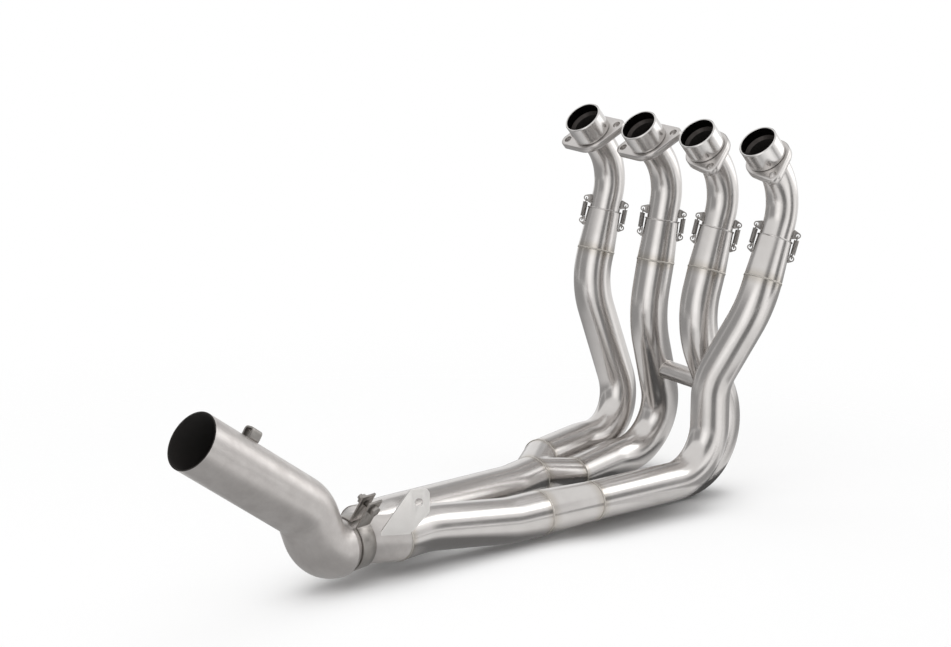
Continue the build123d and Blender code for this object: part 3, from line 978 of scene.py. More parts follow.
def wound_spring_tree(metal: Material) -> Tree:
    """Tree that stands a close-wound tension spring with two eyes on each point.

    Args:
        metal: Finish of the wire.

    Returns:
        The tree. Its points carry the spring's direction and outward side as the attributes run and out.
    """
    tree, add, given = new_tree(
        "wound_springs", ("Coil Radius", "Wire Radius", "Body Length", "Turns", "Eye Radius"),
    )
    wire = add("GeometryNodeCurvePrimitiveCircle", {"Resolution": 8, "Radius": given["Wire Radius"]})
    helix = add("GeometryNodeCurveSpiral", {
        "Resolution": 20, "Rotations": given["Turns"], "Start Radius": given["Coil Radius"],
        "End Radius": given["Coil Radius"], "Height": given["Body Length"],
    })
    coil = add("GeometryNodeCurveToMesh", {"Fill Caps": True, "Curve": helix, "Profile Curve": wire})
    loop = add("GeometryNodeCurvePrimitiveCircle", {"Resolution": 28, "Radius": given["Eye Radius"]})
    eye = add("GeometryNodeCurveToMesh", {"Curve": loop, "Profile Curve": wire})
    below = add("ShaderNodeMath", {"operation": "MULTIPLY", 1: -1.0, 0: given["Eye Radius"]})
    above = add("ShaderNodeMath", {"operation": "ADD", 0: given["Body Length"], 1: given["Eye Radius"]})
    spring = add("GeometryNodeJoinGeometry", {0: coil})
    for height in (below, above):
        spot = add("ShaderNodeCombineXYZ", {2: height})
        turned = add("GeometryNodeTransform", {
            "Rotation": (0.0, math.pi / 2, 0.0), "Geometry": eye, "Translation": spot,
        })
        tree.links.new(turned.outputs[0], spring.inputs[0])
    run = add("GeometryNodeInputNamedAttribute", {"data_type": "FLOAT_VECTOR", "Name": "run"})
    out = add("GeometryNodeInputNamedAttribute", {"data_type": "FLOAT_VECTOR", "Name": "out"})
    turn = add("FunctionNodeAxesToRotation", {"primary_axis": "Z", "secondary_axis": "X", 0: run, 1: out})
    smooth = add("GeometryNodeSetShadeSmooth", {0: spring})
    springs = add("GeometryNodeInstanceOnPoints", {
        "Points": given["Geometry"], "Instance": smooth, "Rotation": turn,
    })
    real = add("GeometryNodeRealizeInstances", {0: springs})
    add("NodeGroupOutput", {0: add("GeometryNodeSetMaterial", {"Material": metal, "Geometry": real})})
    return tree


@dataclass
class Cylinder:
    """One cylinder's share of the header: collar, flange, two tubes and the sprung slip joint between them.

    Args:
        number: Cylinder, counted from the left.
        mouth: Middle of the inlet's mouth.
        elbow: Corner of the upper tube.
        lean: Direction of the slip joint, downwards.
        lower_corners: Corners of the lower tube after its start.
        lower_bends: Its bend radii.
        inlet_axis: Direction of the inlet, into the tube.
        upper_diameter: Outside diameter of the upper tube.
        lower_diameter: Outside diameter of the lower tube.
        wall: Wall of both tubes and of the socket.
        upper_bend: Bend radius of the upper tube.
        collar_diameter: Outside diameter of the collar.
        collar_length: Its length.
        collar_seat: Distance from its mouth to the end of the tube inside it.
        collar_wall: Its wall at the mouth.
        collar_step: Length of the taper from its bore to the tube's.
        collar_edges: Widths of its broken edges, round the mouth, at the back and inside the mouth.
        slip_distance: Distance from the elbow to the socket's mouth.
        socket_length: Length of the slip socket.
        socket_grip: Length of the upper tube inside it.
        socket_lip: Height of its lip.
        lip_form: Corners of the lip, outwards and along, as shares of its height.
        socket_edge: Width and depth of the broken edge inside its mouth.
        slip_clearance: Gap between the upper tube and the socket.
        hook_reach: Distance of the springs from the joint's axis.
        hook_angles: Their angles round it.
        upper_hook: Distance of the upper hooks above the socket's mouth.
        lower_hook: Distance of the lower hooks below it.
        spring_diameter: Outside diameter of a spring.
        wire: Thickness of its wire.
        eye_radius: Radius of its eyes.
    """

    number: int
    mouth: Point
    elbow: Point
    lean: Point
    lower_corners: Sequence[Point]
    lower_bends: Sequence[float]
    inlet_axis: Point = (0.66262, 0.0, -0.74896)
    upper_diameter: float = 35.0
    lower_diameter: float = 42.0
    wall: float = 1.2
    upper_bend: float = 62.0
    collar_diameter: float = 43.0
    collar_length: float = 24.0
    collar_seat: float = 14.0
    collar_wall: float = 2.0
    collar_step: float = 3.0
    collar_edges: Sequence[float] = (0.8, 0.5, 0.3)
    slip_distance: float = 52.5
    socket_length: float = 47.0
    socket_grip: float = 26.0
    socket_lip: float = 0.9
    lip_form: Sequence[Pair] = ((0.6, 0.0), (1.0, 0.4), (0.85, 1.1), (0.0, 2.0))
    socket_edge: Pair = (0.4, 0.3)
    slip_clearance: float = 0.15
    hook_reach: float = 23.0
    hook_angles: Pair = (-45.0, 135.0)
    upper_hook: float = 9.0
    lower_hook: float = 17.0
    spring_diameter: float = 5.8
    wire: float = 1.3
    eye_radius: float = 2.6

    def along_lean(self, distance: float) -> Vector:
        """Point at a distance from the elbow down the slip joint's line."""
        return Vector(self.elbow) + Vector(self.lean) * distance

    def socket_end(self) -> Vector:
        """Point where the slip socket is welded to the lower tube."""
        return self.along_lean(self.slip_distance + self.socket_length)

    def build(self, palette: Palette, tube_tree: Tree, spring_tree: Tree) -> None:
        """Build and dress every piece of this cylinder.

        Args:
            palette: Materials.
            tube_tree: Tree that sweeps the tubes.
            spring_tree: Tree that winds the springs.
        """
        n = self.number
        self._collar(palette)
        CutPiece(f"inlet_flange_{n}", f"flange_{n}", Slot.TURNED).build(palette.ground)
        start = Vector(self.mouth) + Vector(self.inlet_axis) * self.collar_seat
        end = self.along_lean(self.slip_distance + self.socket_grip)
        upper = BentTube(
            f"upper_primary_{n}_swept", (start, self.elbow, end), (self.upper_bend,), self.upper_diameter,
            self.wall, welded=False,
        ).build(tube_tree)
        settle(upper, HEADER_BODY, (f"upper_primary_{n}",))
        self._socket(palette)
        lower = BentTube(
            f"lower_primary_{n}_swept", (self.socket_end(), *self.lower_corners), self.lower_bends,
            self.lower_diameter, self.wall, welded=True,
        ).build(tube_tree)
        settle(lower, HEADER_BODY, (f"lower_primary_{n}",))
        CutPiece(f"spring_hooks_{n}", HEADER_BODY, Slot.SPRING, edge_break=0.2).build(palette.wire)
        self._springs(spring_tree)

    def _collar(self, palette: Palette) -> None:
        """Turn the collar, with a broken edge at its mouth and a step down to the tube's bore.

        Args:
            palette: Materials.
        """
        outer = self.collar_diameter / 2
        mouth = outer - self.collar_wall
        tube = self.upper_diameter / 2
        edge, back, bore = self.collar_edges
        outline = (
            (mouth + bore, 0.0), (outer - edge, 0.0), (outer, edge), (outer, self.collar_length - back),
            (outer - back, self.collar_length), (tube, self.collar_length), (tube, self.collar_seat),
            (tube - self.wall, self.collar_seat), (mouth, self.collar_seat - self.collar_step), (mouth, bore),
        )
        # Inside the mouth, the collar takes a darker steel finish as painted shade.
        piece = TurnedPiece(
            f"inlet_collar_{self.number}_turned", self.mouth, self.inlet_axis, outline, inside_from=6,
        ).build(palette.turned, palette.mouth_shade)
        settle(piece, HEADER_BODY, (f"inlet_collar_{self.number}",))

    def _socket(self, palette: Palette) -> None:
        """Turn the slip socket, with its rolled lip and flare.

        Args:
            palette: Materials.
        """
        inner = self.upper_diameter / 2 + self.slip_clearance
        mouth = inner + self.wall
        outer = self.lower_diameter / 2
        width, depth = self.socket_edge
        lip = [(mouth + out * self.socket_lip, on * self.socket_lip) for out, on in self.lip_form]
        outline = (
            (inner, depth), (inner + width, 0.0), *lip, (outer, self.socket_length),
            (outer - self.wall, self.socket_length), (inner, self.socket_grip),
        )
        piece = TurnedPiece(
            f"slip_socket_{self.number}_turned", tuple(self.along_lean(self.slip_distance)), self.lean,
            outline, inside_from=8, weld_at=self.socket_length,
        ).build(palette.tube, palette.bore)
        settle(piece, HEADER_BODY, (f"slip_socket_{self.number}",))

    def _springs(self, tree: Tree) -> None:
        """Wind both springs of the slip joint between their hooks.

        Args:
            tree: Tree from wound_spring_tree.
        """
        lean = Vector(self.lean).normalized()
        across = UP.cross(lean).normalized()
        third = lean.cross(across)
        spots, outs = [], []
        for angle in self.hook_angles:
            out = across * math.cos(math.radians(angle)) + third * math.sin(math.radians(angle))
            first = self.slip_distance - self.upper_hook + 2 * self.eye_radius
            spots.append((self.along_lean(first) + out * self.hook_reach) * MM)
            outs.append(out)
        mesh = bpy.data.meshes.new(f"slip_springs_{self.number}_points")
        mesh.from_pydata(spots, [], [])
        store(mesh, "out", np.array(outs))
        store(mesh, "run", np.array([lean] * len(spots)))
        length = self.upper_hook + self.lower_hook - 4 * self.eye_radius
        piece = run_tree(f"slip_springs_{self.number}_wound", mesh, tree, {
            "Coil Radius": (self.spring_diameter - self.wire) / 2 * MM,
            "Wire Radius": self.wire / 2 * MM,
            "Body Length": length * MM,
            "Turns": length / self.wire,
            "Eye Radius": self.eye_radius * MM,
        })
        settle(piece, HEADER_BODY, (f"slip_springs_{self.number}",))


@dataclass
class MergeSide:
    """One pair of primaries run together, and the secondary tube that carries on from it.

    Args:
        side: Left or right.
        start: Middle of the merge's inlet plane.
        heading: Level direction of the merge.
        half: Offset of the first inlet from the middle, across and upwards.
        secondary_corners: Corners of the secondary tube, its ends among them.
        lower_diameter: Outside diameter of the primaries.
        secondary_diameter: Outside diameter of the secondary tube.
        wall: Its wall.
        length: Length of the merge.
        bend: Bend radius of the secondary tube.
    """

    side: str
    start: Point
    heading: Point
    half: Pair
    secondary_corners: Sequence[Point]
    lower_diameter: float = 42.0
    secondary_diameter: float = 48.0
    wall: float = 1.2
    length: float = 55.0
    bend: float = 150.0

    def build(self, palette: Palette, tube_tree: Tree) -> None:
        """Build and dress the merge and its secondary tube.

        Args:
            palette: Materials.
            tube_tree: Tree that sweeps the tubes.
        """
        merge = MergingCones(
            f"merge_collector_{self.side}_formed", self.start, self.heading, self.half,
            self.lower_diameter / 2, self.secondary_diameter / 2, self.length,
        ).build(palette.tube)
        settle(merge, HEADER_BODY, (f"merge_collector_{self.side}",))
        tube = BentTube(
            f"secondary_tube_{self.side}_swept", self.secondary_corners, (self.bend, self.bend),
            self.secondary_diameter, self.wall, welded=True,
        ).build(tube_tree)
        settle(tube, HEADER_BODY, (f"secondary_tube_{self.side}",))


@dataclass
class Tailpiece:
    """Last collector, link pipe, clamp, bracket and strap hook.

    Args:
        collector: Middle of the last collector's inlet plane.
        heading: Level direction of the collector.
        collector_half: Offset of its first inlet from the middle, across and upwards.
        secondary_diameter: Outside diameter of the tubes that enter it.
        spigot_diameter: Outside diameter of its spigot.
        collector_length: Length of its cones.
        spigot_length: Length of its spigot.
        link_diameter: Outside diameter of the link pipe.
        link_wall: Wall of the link pipe and of its socket.
        link_corners: Corners of the link pipe behind its socket, its ends among them.
        link_bends: Its bend radii.
        link_socket: Middle of the socket's mouth.
        socket_inner: Inside radius of the socket.
        socket_length: Length of its straight part.
        flare_length: Length of its flare out to the link pipe.
    """

    collector: Point = (-137.34, -37.4, 41.0)
    heading: Point = (-0.99027, -0.13917, 0.0)
    collector_half: Pair = (-25.0, 0.0)
    secondary_diameter: float = 48.0
    spigot_diameter: float = 50.0
    collector_length: float = 30.0
    spigot_length: float = 19.0
    link_diameter: float = 61.0
    link_wall: float = 1.5
    link_corners: Sequence[Point] = (
        (-196.76, -45.75, 41.0), (-220.03, -49.02, 41.0), (-237.62, -49.02, 87.06), (-372.77, -49.02, 179.25),
    )
    link_bends: Sequence[float] = (32.0, 34.0)
    link_socket: Point = (-167.54, -41.64, 41.0)
    socket_inner: float = 25.15
    socket_length: float = 21.0
    flare_length: float = 8.5

    def build(self, palette: Palette, tube_tree: Tree) -> None:
        """Build and dress every piece behind the secondaries.

        Args:
            palette: Materials.
            tube_tree: Tree that sweeps the tubes.
        """
        collector = MergingCones(
            "final_collector_formed", self.collector, self.heading, self.collector_half,
            self.secondary_diameter / 2, self.spigot_diameter / 2, self.collector_length,
            spigot=self.spigot_length,
        ).build(palette.blasted)
        settle(collector, HEADER_BODY, ("final_collector",))
        link = BentTube(
            "link_pipe_swept", self.link_corners, self.link_bends, self.link_diameter, self.link_wall,
            welded=False, step=2.5, ring_points=96,
        ).build(tube_tree)
        settle(link, HEADER_BODY, ("link_pipe",))
        self._link_socket(palette)
        for node in ("clamp_band", "clamp_bolt", "clamp_nut"):
            CutPiece(node, HEADER_BODY, Slot.CLAMP, edge_break=0.25).build(palette.strip)
        CutPiece("bracket_plate", HEADER_BODY, Slot.BLASTED, edge_break=0.4).build(palette.blasted_plate)
        # The strap hook takes the darker clamp strip finish, painted shade of its shaded side.
        CutPiece("strap_hook", HEADER_BODY, Slot.BLASTED, edge_break=0.4).build(palette.strip)

    def _link_socket(self, palette: Palette) -> None:
        """Turn the socket and flare at the start of the link pipe.

        Args:
            palette: Materials.
        """
        inner = self.socket_inner
        outer = inner + self.link_wall
        wide = self.link_diameter / 2
        end = self.socket_length + self.flare_length
        outline = (
            (inner, 0.0), (outer, 0.0), (outer, self.socket_length), (wide, end),
            (wide - self.link_wall, end), (inner, self.socket_length),
        )
        piece = TurnedPiece(
            "link_pipe_socket", self.link_socket, self.heading, outline, inside_from=5,
        ).build(palette.blasted, palette.bore)
        settle(piece, HEADER_BODY, ("link_pipe",))


@dataclass
class Welds:
    """All weld beads of the header, laid as one piece.

    Args:
        rings: Welds round tubes and where tubes meet.
        pitch: Distance between drops of weld metal.
        length: Length of a drop.
        width: Width of the bead.
        height: Thickness of a drop, half of it above the tube.
        uneven: Share by which drops differ.
        seed: Seed of that difference.
    """

    rings: Sequence[WeldLine]
    pitch: float = 1.5
    length: float = 2.7
    width: float = 2.8
    height: float = 0.9
    uneven: float = 0.16
    seed: int = 7

    def build(self, palette: Palette) -> None:
        """Lay the beads along their lines.

        Args:
            palette: Materials.
        """
        spots: list[np.ndarray] = []
        outs: list[np.ndarray] = []
        edges: list[tuple[int, int]] = []
        first = 0
        for ring in self.rings:
            points, out = ring.points()
            count = len(points)
            spots.append(points * MM)
            outs.append(out)
            edges += [(first + k, first + (k + 1) % count) for k in range(count)]
            first += count
        mesh = bpy.data.meshes.new("weld_lines")
        mesh.from_pydata(np.concatenate(spots).tolist(), edges, [])
        store(mesh, "out", np.concatenate(outs))
        piece = run_tree("weld_beads", mesh, weld_bead_tree(palette.weld), {
            "Pitch": self.pitch * MM,
            "Length": self.length * MM,
            "Width": self.width * MM,
            "Height": self.height * MM,
            "Uneven": self.uneven,
            "Seed": self.seed,
        })
        settle(piece, HEADER_BODY)


@dataclass(frozen=True)
class Panel:
    """Upright or hung rectangle that lights the header or shows in its steel.

    Args:
        name: Name of the panel.
        about: Point that its angles are measured from.
        turn: Degrees to the right of the camera's side.
        rise: Degrees above the level of that point.
        distance: Distance from that point.
        size: Width and height.
        radiance: Brightness of its face, where 1 looks white.
        shows: Whether a lamp's own shape shows in the steel.
    """

    name: str
    about: Point
    turn: float
    rise: float
    distance: float
    size: Pair
    radiance: float
    shows: bool = True


@dataclass(frozen=True)
class FloorCard:
    """Sector of the floor round the row of tubes that shows in their steel.

    Args:
        name: Name of the card.
        turns: First and last angle, in degrees to the right of the camera's side.
        reach: Nearest and farthest distance from the row.
        radiance: Brightness of its face, where 1 looks white.
    """

    name: str
    turns: Pair
    reach: Pair
    radiance: float


# Points that the lamps and cards are set out from
ROW_OF_TUBES = (310.0, 0.0, 200.0)
LOWER_RUN = (0.0, -40.0, 40.0)
LINK_PIPE = (-305.0, -49.0, 133.0)


@dataclass
class Studio:
    """White room with softboxes, cards that only reflections see, a floor and the camera.

    Args:
        camera_spot: Place of the camera.
        camera_right: Its direction to the right.
        camera_up: Its upward direction.
        lens: Focal length.
        sensor: Width of the sensor.
        softboxes: Lamps.
        cards: Cards that stand round the header.
        floor_cards: Cards that lie on the floor.
        card_steps: Points along a card's side.
        card_edge: Share of a card's half width over which it fades out.
        card_lift: Height of the lying cards above the floor of the frame.
        floor_size: Side of the floor.
        floor_drop: Distance of the floor below the frame's own.
        floor_fade: Distances from the middle between which the floor gives way to the white room.
        floor_open: Shares of open sky between which the floor turns from shaded to white.
        floor_samples: Rays that look for what stands close by.
        floor_colour: Colour of the paper.
        floor_white: White share of the floor where nothing is near.
        floor_reach: Distance within which the header shades the floor.
        fill: Strength of the room's light.
    """

    camera_spot: Point = (-1867.66, -2038.39, 817.04)
    camera_right: Point = (0.73135, -0.68200, 0.0)
    camera_up: Point = (0.14180, 0.15206, 0.97815)
    lens: float = 104.1
    sensor: float = 36.0
    softboxes: Sequence[Panel] = (
        Panel("key", LOWER_RUN, -30.0, 48.0, 2600.0, (2400.0, 2000.0), 1.7, shows=False),
        Panel("side", LOWER_RUN, 102.0, 37.0, 2600.0, (1250.0, 650.0), 2.0),
        Panel("top", LOWER_RUN, 175.0, 70.0, 2400.0, (2200.0, 1400.0), 1.7, shows=False),
    )
    cards: Sequence[Panel] = (
        Panel("grey_left", ROW_OF_TUBES, -72.0, 10.0, 1300.0, (1300.0, 850.0), 0.4),
        Panel("grey_far_left", ROW_OF_TUBES, -122.0, 10.0, 1300.0, (1300.0, 850.0), 0.4),
        Panel("bright_front", ROW_OF_TUBES, -22.0, 12.0, 1300.0, (740.0, 900.0), 1.5),
        Panel("dark_front", ROW_OF_TUBES, 17.0, 12.0, 1300.0, (640.0, 900.0), 0.22),
        Panel("bright_right", ROW_OF_TUBES, 50.0, 8.0, 1300.0, (580.0, 800.0), 1.3),
        Panel("dark_low_right", LOWER_RUN, 82.0, 9.0, 1200.0, (460.0, 400.0), 0.2),
        Panel("bright_low_right", LOWER_RUN, 106.0, 3.0, 1200.0, (250.0, 240.0), 1.5),
        Panel("grey_behind", LOWER_RUN, 152.0, 32.0, 2000.0, (1600.0, 880.0), 0.45),
        Panel("bright_behind_link", LINK_PIPE, 120.0, 12.0, 1500.0, (760.0, 440.0), 2.0),
    )
    floor_cards: Sequence[FloorCard] = (
        FloorCard("grey_left", (-180.0, -56.0), (120.0, 2200.0), 0.4),
        FloorCard("bright_front", (-40.0, -6.0), (820.0, 2200.0), 1.5),
        FloorCard("dark_front", (2.0, 33.0), (100.0, 2200.0), 0.22),
        FloorCard("bright_right", (37.0, 68.0), (300.0, 2200.0), 1.3),
        FloorCard("grey_right_near", (34.0, 76.0), (100.0, 290.0), 0.4),
        # The dark_under cards are painted shade: the floor's shade under the header, as it shows in the
        # steel.
        FloorCard("dark_under_row", (-180.0, 180.0), (1.0, 130.0), 0.1),
        FloorCard("dark_under_link", (-62.0, -20.0), (430.0, 820.0), 0.44),
        FloorCard("dark_under_run", (-58.0, -25.0), (110.0, 450.0), 0.2),
        FloorCard("grey_right", (78.0, 180.0), (100.0, 1300.0), 0.4),
    )
    card_steps: int = 13
    card_edge: float = 0.34
    card_lift: float = 0.2
    floor_size: float = 6000.0
    floor_drop: float = 0.3
    floor_fade: Pair = (450.0, 1100.0)
    floor_open: Pair = (0.45, 0.97)
    floor_samples: int = 12
    floor_colour: str = "#F4F4F4"
    floor_white: float = 0.7
    floor_reach: float = 75.0
    fill: float = 0.62

    def build(self) -> None:
        """Set the world, the lamps, the cards, the floor and the camera."""
        bpy.context.scene.view_settings.view_transform = "Standard"
        self._world()
        for box in self.softboxes:
            self._lamp(box)
        for card in self.cards:
            self._standing_card(card)
        for card in self.floor_cards:
            self._lying_card(card)
        self._floor()
        self._camera()

    def _level(self, degrees: float) -> Vector:
        """Give the level direction at an angle to the right of the camera's side.

        Args:
            degrees: The angle.

        Returns:
            The direction, of length 1.
        """
        right = Vector(self.camera_right)
        turn = math.radians(degrees)
        return right.cross(UP) * math.cos(turn) + right * math.sin(turn)

    def _spot(self, panel: Panel) -> tuple[Vector, Vector]:
        """Give a panel's place in metres and the direction it faces.

        Args:
            panel: The panel.

        Returns:
            The place and the direction.
        """
        rise = math.radians(panel.rise)
        out = self._level(panel.turn) * math.cos(rise) + UP * math.sin(rise)
        return (Vector(panel.about) + out * panel.distance) * MM, -out

    def _lamp(self, panel: Panel) -> None:
        """Hang one softbox.

        Args:
            panel: Its place, size and brightness.
        """
        lamp = bpy.data.lights.new(f"softbox_{panel.name}", "AREA")
        lamp.shape = "RECTANGLE"
        lamp.size, lamp.size_y = panel.size[0] * MM, panel.size[1] * MM
        lamp.energy = panel.radiance * math.pi * lamp.size * lamp.size_y
        holder = bpy.data.objects.new(lamp.name, lamp)
        spot, facing = self._spot(panel)
        holder.location = spot
        holder.rotation_mode = "QUATERNION"
        holder.rotation_quaternion = facing.to_track_quat("-Z", "Y")
        holder.visible_glossy = panel.shows
        bpy.context.scene.collection.objects.link(holder)

    def _standing_card(self, panel: Panel) -> None:
        """Stand one card beside the header.

        Args:
            panel: Its place, size and brightness.
        """
        spot, facing = self._spot(panel)
        turn = Matrix.Translation(spot) @ facing.to_track_quat("-Z", "Y").to_matrix().to_4x4()
        w, h = panel.size[0] / 2 * MM, panel.size[1] / 2 * MM
        steps = np.linspace(-1.0, 1.0, self.card_steps)
        grid = [[turn @ Vector((x * w, y * h, 0)) for y in steps] for x in steps]
        self._card(f"card_{panel.name}", grid, panel.radiance)

    def _lying_card(self, card: FloorCard) -> None:
        """Lay one card on the floor round the row of tubes.

        Args:
            card: Its sector and brightness.
        """
        middle = Vector((ROW_OF_TUBES[0], ROW_OF_TUBES[1], self.card_lift))
        turns = np.linspace(*card.turns, 4 * self.card_steps + 1)
        reaches = np.linspace(*card.reach, self.card_steps)
        self._card(
            f"floor_card_{card.name}", [[(middle + self._level(t) * r) * MM for r in reaches] for t in turns],
            card.radiance,
        )

    def _card(self, name: str, grid: list[list[Vector]], radiance: float) -> None:
        """Make one card that only reflections see, fading out at its edges.

        Args:
            name: Name of the card.
            grid: Its points, as columns of equal length.
            radiance: Brightness of its face.
        """
        material, add = new_material(name)
        face = add("ShaderNodeEmission", {"Color": WHITE, "Strength": radiance})
        clear = add("ShaderNodeBsdfTransparent")
        fade = add("ShaderNodeAttribute", {"attribute_name": "fade"})
        shader = add("ShaderNodeMixShader", {0: fade.outputs["Fac"], 1: clear, 2: face})
        add("ShaderNodeOutputMaterial", {"Surface": shader})
        columns, rows = len(grid), len(grid[0])
        faces = [
            (i * rows + k, i * rows + k + 1, (i + 1) * rows + k + 1, (i + 1) * rows + k)
            for i in range(columns - 1) for k in range(rows - 1)
        ]
        mesh = bpy.data.meshes.new(name)
        mesh.from_pydata([p for column in grid for p in column], [], faces)
        across = 1 - np.abs(np.linspace(-1, 1, columns))
        upward = 1 - np.abs(np.linspace(-1, 1, rows))
        solid = np.clip(np.minimum.outer(across, upward) / self.card_edge, 0, 1)
        store(mesh, "fade", solid.ravel())
        holder = new_object(name, mesh, (material,))
        holder.visible_camera = False
        holder.visible_diffuse = False
        holder.visible_shadow = False
        holder.visible_transmission = False

    def _seen_white(self, add: Adder) -> Socket:
        """Give 1 for the rays that see the background: camera, glossy and transmission rays.

        Args:
            add: add_node bound to the tree of the floor or the world.

        Returns:
            Socket with 1 or nought.
        """
        path = add("ShaderNodeLightPath")
        seen = add("ShaderNodeMath", {
            "operation": "ADD", 0: path.outputs["Is Camera Ray"], 1: path.outputs["Is Glossy Ray"],
        })
        return add("ShaderNodeMath", {
            "operation": "ADD", "use_clamp": True, 0: seen, 1: path.outputs["Is Transmission Ray"],
        }).outputs[0]

    def _world(self) -> None:
        """Make the room white where it is seen and a soft fill elsewhere."""
        world = bpy.data.worlds.new("white_room")
        bpy.context.scene.world = world
        world.use_nodes = True
        world.node_tree.nodes.clear()
        add = partial(add_node, world.node_tree)
        strength = add("ShaderNodeMapRange", {
            "To Min": self.fill, "To Max": 1.0, "Value": self._seen_white(add),
        })
        room = add("ShaderNodeBackground", {"Color": WHITE, "Strength": strength})
        add("ShaderNodeOutputWorld", {"Surface": room})

    def _floor(self) -> None:
        """Lay a pale floor that keeps the shadow near the header and fades into the white room."""
        material, add = new_material("floor_paper_matt")
        paper = add("ShaderNodeBsdfDiffuse", {"Color": linear(self.floor_colour)})
        white = add("ShaderNodeEmission", {"Color": WHITE, "Strength": 1.0})
        open_sky = add("ShaderNodeAmbientOcclusion", {
            "samples": self.floor_samples, "Distance": self.floor_reach * MM,
        })
        openness = add("ShaderNodeMapRange", {
            "interpolation_type": "SMOOTHSTEP", "From Min": self.floor_open[0],
            "From Max": self.floor_open[1], "To Max": self.floor_white, "Value": open_sky.outputs["AO"],
        })
        share = add("ShaderNodeMath", {"operation": "MULTIPLY", 0: openness, 1: self._seen_white(add)})
        lit = add("ShaderNodeMixShader", {0: share, 1: paper, 2: white})
        spot = add("ShaderNodeTexCoord")
        far = add("ShaderNodeVectorMath", {"operation": "LENGTH", 0: spot.outputs["Object"]})
        fade = add("ShaderNodeMapRange", {
            "interpolation_type": "SMOOTHSTEP", "From Min": self.floor_fade[0] * MM,
            "From Max": self.floor_fade[1] * MM, "Value": far.outputs["Value"],
        })
        clear = add("ShaderNodeBsdfTransparent")
        whole = add("ShaderNodeMixShader", {0: fade, 1: lit, 2: clear})
        add("ShaderNodeOutputMaterial", {"Surface": whole})
        half, level = self.floor_size / 2 * MM, -self.floor_drop * MM
        mesh = bpy.data.meshes.new("floor")
        corners = [(x, y, level) for x, y in ((-half, -half), (half, -half), (half, half), (-half, half))]
        mesh.from_pydata(corners, [], [(0, 1, 2, 3)])
        new_object("floor", mesh, (material,))

    def _camera(self) -> None:
        """Stand the camera where the photograph was taken."""
        data = bpy.data.cameras.new("camera")
        data.sensor_fit = "HORIZONTAL"
        data.sensor_width = self.sensor
        data.lens = self.lens
        right, up = Vector(self.camera_right), Vector(self.camera_up)
        back = right.cross(up)
        turn = Matrix((right, up, back)).transposed().to_4x4()
        holder = bpy.data.objects.new("camera", data)
        holder.matrix_world = Matrix.Translation(Vector(self.camera_spot) * MM) @ turn
        bpy.context.scene.collection.objects.link(holder)
        bpy.context.scene.camera = holder


CYLINDERS = (
    Cylinder(
        1, (316.66, 127.9, 401.0), (369.01, 127.9, 341.83), (-0.28402, 0.0, -0.95882),
        ((329.67, 127.9, 209.04), (372.66, 98.4, 35.91), (286.13, 98.38, 35.91), (201.25, 75.16, 35.91)),
        (104.99, 55.0, 79.95),
    ),
    Cylinder(
        2, (316.66, 40.9, 401.0), (369.01, 40.9, 341.83), (-0.21644, 0.0, -0.9763),
        ((333.83, 40.9, 183.18), (392.66, 57.4, 21.0), (296.95, 58.87, 21.0), (212.06, 35.64, 21.0)),
        (110.09, 56.03, 79.89),
    ),
    Cylinder(
        3, (316.66, -46.1, 401.0), (369.01, -46.1, 341.83), (-0.32557, 0.0, -0.94552),
        ((316.43, -46.1, 189.13), (386.37, -61.11, 21.0), (119.73, -47.14, 21.0)),
        (105.04, 64.05),
    ),
    Cylinder(
        4, (316.66, -133.1, 401.0), (369.01, -133.1, 341.83), (-0.39073, 0.0, -0.9205),
        ((318.41, -133.1, 222.63), (292.66, -94.6, 137.14), (288.35, -97.0, 35.91), (117.59, -88.05, 35.91)),
        (109.89, 69.67, 58.09),
    ),
)
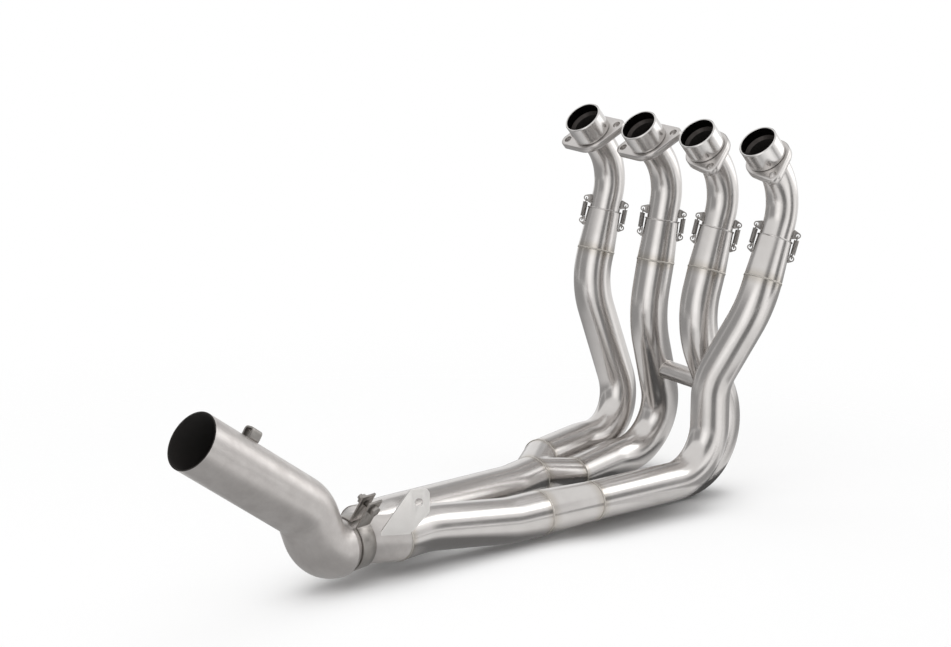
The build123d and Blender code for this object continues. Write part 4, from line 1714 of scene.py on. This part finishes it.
SIDES = (
    MergeSide(
        "left", (206.66, 55.4, 28.46), (-0.96456, -0.26387, 0.0), (-20.485, 7.456),
        ((153.61, 40.89, 28.46), (110.2, 29.02, 28.46), (-96.26, -6.38, 41.0), (-140.82, -12.64, 41.0)),
    ),
    MergeSide(
        "right", (118.66, -67.6, 28.46), (-0.99863, 0.05234, 0.0), (-20.485, -7.456),
        ((63.73, -64.72, 28.46), (18.8, -62.36, 28.46), (-89.3, -55.89, 41.0), (-133.86, -62.15, 41.0)),
    ),
)
# Points where the crossover's axis meets those of the two inner primaries
CROSSOVER = ((356.03, 47.13, 122.0), (346.43, -52.54, 117.0))
CROSSOVER_RADIUS = 10.5


def weld_lines(tail: Tailpiece) -> list[WeldLine]:
    """List the header's welds from the places of the tubes.

    Args:
        tail: Tailpiece, for the direction into the last collector.

    Returns:
        Rings and saddles.
    """
    rings: list[WeldLine] = []
    for cylinder in CYLINDERS:
        radius = cylinder.lower_diameter / 2
        rings.append(WeldRing(tuple(cylinder.socket_end()), cylinder.lean, radius))
        heading = SIDES[0].heading if cylinder.number < 3 else SIDES[1].heading
        rings.append(WeldRing(cylinder.lower_corners[-1], heading, radius))
    for side in SIDES:
        radius = side.secondary_diameter / 2
        rings.append(WeldRing(side.secondary_corners[0], side.heading, radius))
        rings.append(WeldRing(side.secondary_corners[-1], tail.heading, radius))
    first, last = (Vector(p) for p in CROSSOVER)
    for centre, away, tube in ((first, last - first, CYLINDERS[1]), (last, first - last, CYLINDERS[2])):
        run = Vector(tube.lower_corners[1]) - Vector(tube.lower_corners[0])
        radius = tube.lower_diameter / 2
        rings.append(SaddleWeld(tuple(centre), tuple(run), radius, tuple(away), CROSSOVER_RADIUS))
    return rings


def main() -> None:
    """Build the header, its welds and the studio."""
    logging.basicConfig(level=logging.INFO, format="%(name)s: %(message)s")
    palette = Palette()
    satin = bent_tube_tree(palette.tube, palette.bore)
    matt = bent_tube_tree(palette.blasted, palette.bore)
    springs = wound_spring_tree(palette.wire)
    for cylinder in CYLINDERS:
        cylinder.build(palette, satin, springs)
    for side in SIDES:
        side.build(palette, satin)
    tail = Tailpiece()
    tail.build(palette, matt)
    CutPiece("crossover_tube", HEADER_BODY, Slot.TUBE).build(palette.ground_tube)
    Welds(weld_lines(tail)).build(palette)
    Studio().build()
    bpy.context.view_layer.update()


if __name__ == "__main__":
    main()
